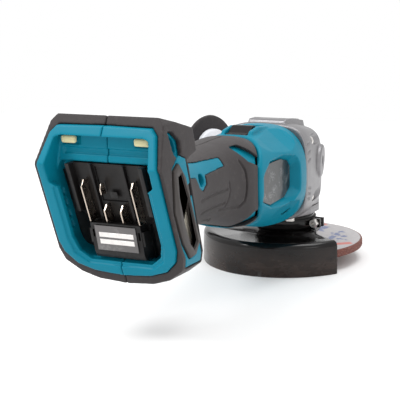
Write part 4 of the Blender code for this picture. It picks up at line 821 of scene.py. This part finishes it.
def make_wheel():
    hub, slope, bore = 23.0, 28.5, 11.1
    low, high = WHEEL_BOTTOM, WHEEL_BOTTOM + WHEEL_THICKNESS
    profile = [(bore, low + WHEEL_DISH), (hub - 1.2, low + WHEEL_DISH), (hub, low + WHEEL_DISH - 0.4)]
    profile += [(slope - 0.8, low + 0.3), (slope + 0.6, low), (45.0, low), (WHEEL_RADIUS - 0.8, low),
                (WHEEL_RADIUS - 0.2, low + 0.4), (WHEEL_RADIUS, low + 1.0), (WHEEL_RADIUS, high - 1.0),
                (WHEEL_RADIUS - 0.2, high - 0.4), (WHEEL_RADIUS - 0.8, high), (61.2, high),
                (61.0, high + 0.12),
                (45.0, high + 0.12), (slope + 0.6, high + 0.12), (slope - 0.8, high + 0.4),
                (hub, high + WHEEL_DISH - 0.1), (hub - 1.2, high + WHEEL_DISH), (bore, high + WHEEL_DISH)]

    def wear_and_sheen(angle, radius, along):
        if radius < WHEEL_RADIUS - 1.5:
            return radius
        return radius - 0.12 * (1 + math.sin(37 * angle + along * 2.1) * math.sin(23 * angle - along))
    wheel = smooth_skin(turned("grinding_wheel_looks", profile, steps=240, ripple=wear_and_sheen), 45)
    piece(wheel, WHEEL_SKIN, "abrasive", "grinding_wheel", body="spindle_group")


def make_side_grip():
    axis, root = grip_axis(-1), grip_point(-1, 0)
    length, flange = GRIP_LENGTH, FLANGE_RADIUS
    socket = FLANGE_AT + 14.4
    profile = [(0, socket), (4.3, socket)]
    head = [(4.3, 0.6), (20.5, 0.6), (22.6, 0.0), (flange - 3.0, 0.1), (flange - 1.2, 0.3),
            (flange - 0.3, 1.0), (flange, 2.0), (flange - 0.4, 3.1), (flange - 1.6, 4.0),
            (flange - 4.0, 4.7), (24.0, 6.0), (18.6, 8.4), (16.0, 12.0), (15.2, 15.0)]
    profile += [(radius, FLANGE_AT + along) for radius, along in head]
    for k in range(81):
        t = k / 80
        swell = 15.2 + 1.9 * math.sin(math.pi * t)
        groove = 0.55 * max(0.0, math.cos(2 * math.pi * t * 13)) ** 6 if 0.04 < t < 0.93 else 0.0
        profile.append((swell - groove, FLANGE_AT + 15.5 + (length - 24.0) * t))
    end = [(15.4, 6.0), (14.0, 2.8), (11.0, 0.8), (8.0, 0.0), (0, 0.0)]
    profile += [(radius, FLANGE_AT + length - short) for radius, short in end]

    def flats(angle, radius, along):
        inside = FLANGE_AT + 17.0 < along < FLANGE_AT + length - 8.0
        return radius - (0.35 * max(0.0, math.cos(6 * angle)) ** 8 if inside else 0.0)
    grip = smooth_skin(turned("side_grip_looks", profile, root, axis, 144, flats), 50)
    piece(grip, GRIP_RUBBER, "soft_rubber", "side_grip")
    near = [(4.3, GAP), (10.8, GAP), (11.8, 0.8), (12.4, 1.8), (12.5, 9.6), (12.2, 10.6), (11.2, 13.4),
            (11.0, 15.0)]
    far = [(11.0, 10.5), (11.6, 9.2), (20.2, 4.9), (21.6, 4.2), (22.3, 3.2), (22.4, GAP), (4.3, GAP)]
    neck = [(radius, BOSS_FACE + along) for radius, along in near]
    neck += [(radius, FLANGE_AT - short) for radius, short in far]
    sleeve = smooth_skin(turned("side_grip_sleeve_looks", neck, root, axis, 96), 40)
    piece(sleeve, SATIN_WHITE, "pale_sleeve", "side_grip_neck")


# ---------------------------------------------------------------- handle and battery base

HALF_STEPS = 48


def handle_ring(share, inset):
    """Half ring of the handle, from bottom to top on the right, between collar (0) and base (1)."""
    ring = []
    for k in range(HALF_STEPS + 1):
        angle = -math.pi / 2 + math.pi * k / HALF_STEPS
        front = COLLAR_Y - 4 * GAP - COLLAR_SWEEP * math.cos(angle) ** 2
        middle = oval_point(HANDLE, HANDLE_REAR, angle, HANDLE_SQUARE, inset)
        y = lerp(front, base_front(middle.z) + 0.9, share)
        point = oval_point(HANDLE, y, angle, HANDLE_SQUARE, inset)
        ring.append(Vector((max(point.x, GAP / 2), point.y, point.z)))
    return ring


def half_tube(name, layers, shares, side):
    """Half of a tube that follows the handle: layers gives (outside, inside) depths for each share."""
    bm = bmesh.new()
    rows = []
    for share in shares:
        outside, inside = layers(share)
        ring = handle_ring(share, outside) + handle_ring(share, inside)[::-1]
        rows.append([bm.verts.new(place((side * p.x, p.y, p.z))) for p in ring])
    count = len(rows[0])
    for low, high in zip(rows, rows[1:]):
        for i in range(count):
            j = (i + 1) % count
            bm.faces.new((low[i], low[j], high[j], high[i]))
    for row in (rows[0], rows[-1]):
        for k in range(HALF_STEPS):
            bm.faces.new((row[k], row[k + 1], row[count - 2 - k], row[count - 1 - k]))
    return new_object(name, bm)


def rear_at(z):
    return KINK_Y + (KINK_Z - z) * BASE_LEAN


def base_rear(z):
    return rear_at(z) if z < KINK_Z else KINK_Y + (z - KINK_Z) * 0.52


def base_front(z):
    return KINK_Y + BASE_DEPTH + (KINK_Z - min(z, KINK_Z + 4)) * 0.29


def base_roof(y, grow):
    return BASE_TOP + grow + 1.0 - (y - base_rear(BASE_TOP)) * 0.30


def base_solid(name, grow_side, grow_ends, grow_rear, front_extra, side):
    half, low, high = BASE_HALF + grow_side, BASE_BOTTOM - grow_ends, BASE_TOP + grow_ends
    outline = [(GAP / 2, low), (20.0, low + 1.6), (32.0, low + 5.5), (half - 2.5, low + 13.0),
               (half, low + 21.0), (half, KINK_Z - 2), (half - 5.0, high - 5.0), (half - 9.0, high - 0.6),
               (GAP / 2, high)]
    body = prism(name, [(side * x, z) for x, z in outline], -320, -210, "y")
    low, high = low - 1.0, high
    front = base_front(KINK_Z) + front_extra
    rear_top, ear = base_rear(high) - grow_rear, front + 15.0
    profile = [(base_rear(low) - grow_rear, low), (KINK_Y - grow_rear, KINK_Z),
               (rear_top, base_roof(rear_top, grow_ends)), (ear, base_roof(ear, grow_ends)),
               (ear, KINK_Z + 5.0), (front, KINK_Z + 1.0), (base_front(low) + front_extra, low + 4.0),
               (base_front(low) - 3.0 + front_extra, low)]
    return worked(body, inside=prism("profile", profile, -80, 80, "x"))


def sheared(name, outline, depths):
    """A shape of (x, z) outline points between two depths measured forward from the rear face."""
    return lofted(name, [[(x, rear_at(z) + depth, z) for x, z in outline] for depth in depths])


def scaled_about(points, middle, reach, grow):
    middle = Vector(middle)
    return [middle + (Vector(p) - middle) * (1 + grow / reach) for p in points]


def side_window(grow):
    points = [(-279.8, 122.5), (-268.5, 130.0), (-261.5, 127.0), (base_front(113.0) - 0.8, 113.0),
              (base_front(57.5) - 0.8, 57.5), (-261.5, 57.5), (-263.5, 62.5), (-270.4, 75.0),
              (-279.4, 97.0)]
    return scaled_about(points, (-262.0, 95.0), 30.0, grow)


def cover_outline(grow):
    points = [(-278.8, 121.0), (-272.4, 125.0), (-264.0, 115.5), (-251.0, 83.0), (-246.6, 72.5),
              (-252.4, 65.0), (-259.8, 64.0), (-269.0, 75.5), (-278.2, 96.0)]
    return scaled_about(points, (-263.0, 95.0), 22.0, grow)


def side_prism(name, outline, low, high, side):
    return prism(name, outline, side * low, side * high, "x")


def mirrored(points, side):
    return [(side * x, z) for x, z in points]


def screw_space(place_yz, seat, side):
    y, z = place_yz
    profile = [(0, -1.0), (2.4, -1.0), (2.4, seat), (4.3, seat), (4.3, 60.0), (0, 60.0)]
    if side < 0:
        profile = [(0, -1.0), (2.4, -1.0), (2.4, 19.0), (0, 19.0)]
    return turned("screw_space", profile, (0, y, z), (side, 0, 0), 40)


def keel_outline(grow):
    """Teal tongue that shows under the front of the grip."""
    rear, front, lift = -178.0 - 2.0 * grow, -98.0 + 2.0 * grow, 0.6 * grow
    return [(rear, 40.0), (front, 40.0), (front, 51.6 + lift), (-112.0, 51.4 + lift), (-128.0, 52.6 + lift),
            (-142.0, 56.2 + lift), (-158.0, 61.0 + 0.5 * grow), (rear, 65.0 + 0.4 * grow)]


def make_shell(side, name):
    """Teal half shell: the stripe in the grip, the battery base with its recess, and the side panel."""
    shares = [k / 60 for k in range(61)]
    depth = RUBBER + GAP
    shell = half_tube(f"handle_shell_{name}_looks", lambda s: (depth, depth + WALL), shares, side)
    base = base_solid("base", 0.0, 0.0, 0.0, -0.6, side)
    panel = worked(side_prism("panel", side_window(-0.5), BASE_HALF - 4.0, BASE_HALF + 2.3, side),
                   inside=base_solid("trim", 3.1, 5.0, 2.0, -0.6, side))
    stripe = worked(half_tube("stripe", lambda s: (0.5, depth + 0.6), shares, side),
                    inside=side_prism("trim", around_middle(STRIPE, -GAP), 8.0, 60.0, side))
    y, z = GRIP_SCREW
    half = smooth_station(HANDLE, y)[0]
    post = rod("post", 4.6, (side * (half - 3.6), y, z), (side * GAP / 2, y, z))
    step = RECESS_HALF - 4.5
    deep = [(-1.0, 60.0), (24.0, 60.5), (33.5, 66.0), (RECESS_HALF, 72.0), (RECESS_HALF, 118.0),
            (RECESS_HALF - 2.0, 124.0), (-1.0, 124.0)]
    mouth = [(-1.0, 59.0), (22.0, 59.2), (29.5, 65.0), (step, 74.0), (step, 109.0),
             (RECESS_HALF + 0.1, 112.0), (RECESS_HALF + 0.1, 122.0), (33.0, 139.5), (29.0, 141.0),
             (-1.0, 141.0)]
    shallow = [(-1.0, 118.0), (RECESS_HALF + 0.2, 118.0), (RECESS_HALF + 0.2, 122.0), (33.1, 139.6),
               (29.1, 141.2), (-1.0, 141.2)]
    lip = [(-1.0, 56.4), (23.0, 56.6), (32.2, 62.8), (34.6, 73.0), (34.6, 109.0), (-1.0, 109.0)]
    cuts = [sheared("deep", mirrored(deep, side), (6.0, RECESS_DEPTH)),
            sheared("lip", mirrored(lip, side), (-40.0, 1.8)),
            sheared("mouth", mirrored(mouth, side), (-40.0, 6.6)),
            prism("shallow", mirrored(shallow, side), -320, SHALLOW_Y, "y"),
            side_prism("cover_recess", cover_outline(0.6), 40.4, 60.0, side),
            side_prism("strap_hole", around_middle(STRAP_HOLE, 1.2), BASE_HALF - 14.0, 60.0, side),
            screw_space(GRIP_SCREW, 15.5, side), screw_space(BASE_SCREW, 20.0, side)]
    low, high = sorted((side * 19.0, side * 32.4))
    cuts.append(box("damper_seat", (low, SHALLOW_Y - 1.0, 134.4), (high, SHALLOW_Y + 1.2, 141.0)))
    cuts.append(prism("ledge", mirrored([(-1.0, 128.6), (31.5, 128.6), (31.5, 133.0), (-1.0, 133.0)], side),
                      SHALLOW_Y - 1.0, SHALLOW_Y + 1.4, "y"))
    for k in range(4):
        z = 78.0 + 7.5 * k
        slot = [(RECESS_HALF - 1.0, z), (RECESS_HALF + 1.4, z), (RECESS_HALF + 1.4, z + 5.0),
                (RECESS_HALF - 1.0, z + 5.0)]
        cuts.append(sheared("rail_slot", mirrored(slot, side), (10.0, 15.0)))
    sliver = half_tube("sliver", lambda s: (0.1, depth + 0.6), shares[:26], side)
    keel = worked(sliver, inside=side_prism("trim", keel_outline(0.0), 0.0, 30.0, side))
    worked(shell, cuts, [base, panel, stripe, post, keel])
    soften(shell, 0.62, 3, 0.26)
    piece(shell, TEAL, "teal_plastic", f"handle_shell_{name}")


GROOVES = (((-209.5, 88.3), (-186.0, 88.8), (-163.0, 88.4)),
           ((-206.0, 79.1), (-186.0, 79.6), (-166.0, 79.6)),
           ((-162.6, 94.8), (-160.6, 86.7), (-163.0, 80.0), (-167.2, 75.5)),
           ((-144.0, 106.4), (-140.4, 98.0), (-139.7, 89.9), (-140.2, 82.0), (-141.4, 76.0), (-146.0, 72.6),
            (-160.0, 74.2), (-175.6, 75.7)),
           ((-193.5, 71.6), (-186.0, 70.6), (-178.7, 69.8), (-174.5, 66.5)))


VENTS = (((-142.0, 113.6), (-131.0, 113.4), (-120.0, 105.4), (-112.0, 98.0), (-121.0, 98.4),
          (-133.0, 103.4)),
         ((-136.0, 55.0), (-126.0, 64.6), (-108.0, 66.4), (-108.0, 61.0), (-122.0, 55.0)))


def make_grip_cover(side, name):
    """Soft grip of one side, with its panel lines, the window for the stripe and rounded ends."""
    shares = [0.0, 0.004, 0.012, 0.03] + [0.03 + 0.97 * k / 70 for k in range(1, 71)]

    def layers(share):
        lip = 1.1 * max(0.0, 1 - share / 0.012) ** 2
        swell = 0.27 * math.exp(-((share - 0.30) / 0.05) ** 2)
        swell -= 0.9 * math.exp(-((share - 0.10) / 0.07) ** 2)
        return lip + swell * (0.0 if share < 0.012 else 1.0) * min(1.0, share / 0.05), RUBBER
    cover = half_tube(f"grip_cover_{name}_looks", layers, shares, side)
    cuts = [side_prism("window", STRIPE, 6.0, 60.0, side)]
    for groove in GROOVES:
        line = [(side * (surface_x(HANDLE, y, z, HANDLE_SQUARE) + 0.15), y, z) for y, z in dense(groove)]
        cuts.append(path_tube("groove", line, 1.15, (side, 0, 0)))
    for vent in VENTS:
        cuts.append(side_prism("vent", around_middle(vent, 0.8), 8.0, 50.0, side))
    cuts.append(side_prism("keel_window", keel_outline(1.0), -1.0, 30.0, side))
    worked(cover, cuts)
    soften(cover, 0.5, 3, 0.26)
    piece(cover, RUBBER_GREY, "soft_rubber", f"grip_cover_{name}")


def make_bumper(side, name):
    bumper = base_solid(f"bumper_{name}_looks", 2.8, 6.4, -2.0, 0.0, side)
    core = base_solid("core", GAP, GAP, 20.0, 5.0, side)
    worked(bumper, [core, side_prism("window", side_window(0.0), 30.0, 70.0, side),
                    side_prism("strap_window", around_middle(STRAP_HOLE, 2.6), 20.0, 70.0, side)])
    soften(bumper, 0.62, 8, 0.28)
    piece(bumper, RUBBER_GREY, "soft_rubber", f"bumper_{name}")


def make_side_fittings(side, name):
    cover = side_prism(f"dust_cover_{name}_looks", cover_outline(0.0), 41.8, 45.6, side)
    dish = side_prism("dish", around_middle(COVER_SLOT, 1.6), 44.6, 60.0, side)
    worked(cover, [side_prism("slot", COVER_SLOT, 30.0, 70.0, side), dish])
    bevelled(cover, 0.4, 3, 30)
    piece(cover, DARK_GREY, "black_plastic", f"dust_cover_{name}")
    low, high = sorted((side * 20.5, side * 31.0))
    damper = box(f"damper_{name}_looks", (low, SHALLOW_Y - 4.0, 135.6), (high, SHALLOW_Y - GAP, 140.6))
    bevelled(damper, 1.7, 5, 30)
    piece(damper, DAMPER, "damper_foam", f"damper_{name}")


def make_terminal_block():
    """Terminal block with its ribs, slots for the blades, clips and the raised seat of the plate."""
    outline = [(-18.6, 61.4), (18.6, 61.4), (19.6, 84.0), (27.4, 90.0), (27.4, 123.4), (-27.4, 123.4),
               (-27.4, 90.0), (-19.6, 84.0)]
    block = sheared("terminal_block_looks", outline, (14.8, RECESS_DEPTH - GAP))
    # Painted shade: a black backing sheet on the far wall of the deep recess, beside the block, stands in
    # for the shadow there.
    shade_backing = [(-34.6, 66.0), (-20.0, 61.4), (20.0, 61.4), (34.6, 66.0), (35.9, 73.0), (35.9, 117.0),
              (27.0, 121.0), (-27.0, 121.0), (-35.9, 117.0), (-35.9, 73.0)]
    seat = prism("seat", [(-273.6, 84.6), (-268.9, 65.5), (-266.4, 61.4), (-252.0, 61.4), (-262.0, 84.6)],
                 -17.9, 17.9, "x")
    joins, cuts = [seat, sheared("shade_backing", shade_backing, (RECESS_DEPTH - 2.6, RECESS_DEPTH - GAP - 0.1))], []
    for sign in (-1, 1):
        for low, high, foot, depth in ((24.4, 27.2, 91.0, 9.0), (10.6, 12.4, 84.0, 12.0)):
            rib = [(low, foot), (high, foot), (high, 123.2), (low, 123.2)]
            joins.append(sheared("rib", mirrored(rib, sign), (depth, 15.8)))
        joins.append(prism("clip", [(-272.2, 80.6), (-269.6, 71.0), (-262.0, 71.0), (-262.0, 80.6)],
                           sign * 17.0, sign * 19.4, "x"))
        cuts.append(prism("clip_hole", [(-276.0, 80.2), (-273.4, 75.0), (-266.0, 75.0), (-269.0, 80.2)],
                          sign * 15.6, sign * 17.0, "x"))
    cuts.append(sheared("well", [(-9.6, 98.5), (9.6, 98.5), (9.6, 121.6), (-9.6, 121.6)], (14.0, 15.9)))
    joins.append(sheared("hump", [(-2.6, 100.5), (2.6, 100.5), (2.6, 105.0), (-2.6, 105.0)], (13.6, 16.2)))
    worked(block, cuts, joins)
    bevelled(block, 0.35, 2, 35)
    piece(block, BLACK, "black_plastic", "terminal_block")
    sense = [(rear_at(z) + d, z) for d, z in ((8.6, 103.6), (8.6, 107.4), (11.0, 110.6), (14.5, 110.6),
                                              (14.5, 103.6))]
    blade = prism("sense_contact_looks", sense, -6.3, -5.5, "x")
    bevelled(blade, 0.12, 1)
    piece(blade, CONTACT, "terminal_metal")
    for k, (low, high) in enumerate(((71.0, 74.2), (75.6, 78.8))):
        rings = []
        for lift, shy in ((0.95, 0.0), (1.12, 0.15)):
            left, right, foot, head = -12.0 + shy, 12.6 - shy, low + shy, high - shy
            rings.append([(x, lerp(-269.2, -273.4, (z - 66.6) / 16.6) - lift, z)
                          for x, z in ((left, foot), (right, foot), (right, head), (left, head))])
        piece(lofted(f"plain_bar_{k + 1}_looks", rings), PLATE_BAR, "label_sheet")


# ---------------------------------------------------------------- carried-over CAD nodes

def dress(names, material, bevel=0.25):
    """Keep CAD nodes as they are, with soft edges and a finish."""
    for name in names:
        node = nodes[name]
        if node.hide_render:
            continue
        node.data.materials.clear()
        node.data.materials.append(material)
        for polygon in node.data.polygons:
            polygon.material_index = 0
        weld = node.modifiers.new("weld", "WELD")
        weld.merge_threshold = 0.00001
        if bevel:
            edge = node.modifiers.new("edge", "BEVEL")
            edge.width = bevel * MM
            edge.segments = 2
            edge.limit_method = "ANGLE"
            edge.angle_limit = math.radians(40)
        for polygon in node.data.polygons:
            polygon.use_smooth = material is not SCREEN
        split = node.modifiers.new("split", "EDGE_SPLIT")
        split.split_angle = math.radians(38)


def dress_nodes():
    screws = [name for name in nodes if "screw" in name and name != "guard_clamp_screw"]
    bearings = [name for name in nodes if "bearing_" in name and "box" not in name]
    plain_steel = ["guard_clamp_screw", "shaft_lock_spring", "ring_gear", "pinion", "rotor_shaft"]
    dress(screws + bearings + plain_steel, STEEL, 0.0)
    dress(["spindle", "inner_flange", "lock_nut", "side_grip_stud"], BRUSHED, 0.2)
    dress(["bearing_box"], CAST, 0.5)
    dress(["guard_clamp_band"], GUARD_BLACK, 0.4)
    dress([name for name in nodes if "_blade_" in name], CONTACT, 0.12)
    dress(["rotor_core", "stator"], LAMINATED, 0.0)
    dress(["motor_controller"], HEAT_SINK, 0.4)
    dress(["baffle_plate", "switch_body", "switch_rod", "shaft_lock_pin", "cooling_fan"], BLACK, 0.25)
    dress(["dust_mesh_right", "dust_mesh_left"], SCREEN, 0.0)
    dress(["rating_plate"], PLATE, 0.15)


# ---------------------------------------------------------------- stage

def make_stage():
    half = 0.8
    floor_mesh = bpy.data.meshes.new("floor")
    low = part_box("wheel_guard")[0].z
    floor_mesh.from_pydata([(-half, -half, low), (half, -half, low), (half, half, low), (-half, half, low)],
                           [], [(0, 1, 2, 3)])
    floor = bpy.data.objects.new("floor", floor_mesh)
    bpy.context.scene.collection.objects.link(floor)
    n = Nodes("floor_paint", 0.9, 0.0)
    floor_mesh.materials.append(n.finish(n.mix(n.noise(3.0), (0.86, 0.86, 0.86), (0.88, 0.88, 0.88))))
    world = bpy.data.worlds.new("studio")
    world.use_nodes = True
    background = world.node_tree.nodes["Background"]
    background.inputs["Color"].default_value = (1.0, 1.0, 1.0, 1.0)
    background.inputs["Strength"].default_value = 1.0
    bpy.context.scene.world = world
    bpy.context.scene.view_settings.view_transform = "Standard"
    centre = (cad_low + cad_high) / 2
    for name, offset, size, power in (("key_light", (-0.55, -0.75, 1.05), 0.55, 12.0),
                                      ("top_light", (0.35, 0.20, 1.20), 0.80, 7.0),
                                      ("side_light", (1.10, -0.55, 0.45), 0.40, 1.0)):
        data = bpy.data.lights.new(name, "AREA")
        data.shape = "RECTANGLE"
        data.size, data.size_y = size, size * 0.7
        data.energy = power
        light = bpy.data.objects.new(name, data)
        bpy.context.scene.collection.objects.link(light)
        light.location = centre + Vector(offset)
        light.rotation_mode = "QUATERNION"
        light.rotation_quaternion = (-Vector(offset)).to_track_quat("-Z", "Y")


def make_camera():
    """Camera behind and to the right of the tool, slightly above it."""
    swing, tip, roll = math.radians(26.96), math.radians(11.42), math.radians(-1.26)
    across, up_shift, distance = -71.98, 47.01, 998.74
    back = Vector((math.sin(swing) * math.cos(tip), -math.cos(swing) * math.cos(tip), math.sin(tip)))
    right = Vector((math.cos(swing), math.sin(swing), 0))
    up = back.cross(right)
    image_right = math.cos(roll) * right + math.sin(roll) * up
    image_up = -math.sin(roll) * right + math.cos(roll) * up
    data = bpy.data.cameras.new("camera")
    data.lens, data.sensor_width = 108, 36
    data.clip_start = 0.01
    camera = bpy.data.objects.new("camera", data)
    bpy.context.scene.collection.objects.link(camera)
    matrix = Matrix((image_right, image_up, back)).transposed().to_4x4()
    matrix.translation = place(back * distance + image_right * across + image_up * up_shift)
    camera.matrix_world = matrix
    bpy.context.scene.camera = camera


make_motor_housing()
make_knob()
make_labels()
make_gear_housing()
make_guard()
make_wheel()
make_side_grip()
for hand, hand_name in ((1, "right"), (-1, "left")):
    make_shell(hand, hand_name)
    make_grip_cover(hand, hand_name)
    make_bumper(hand, hand_name)
    make_side_fittings(hand, hand_name)
make_terminal_block()
dress_nodes()
make_stage()
make_camera()
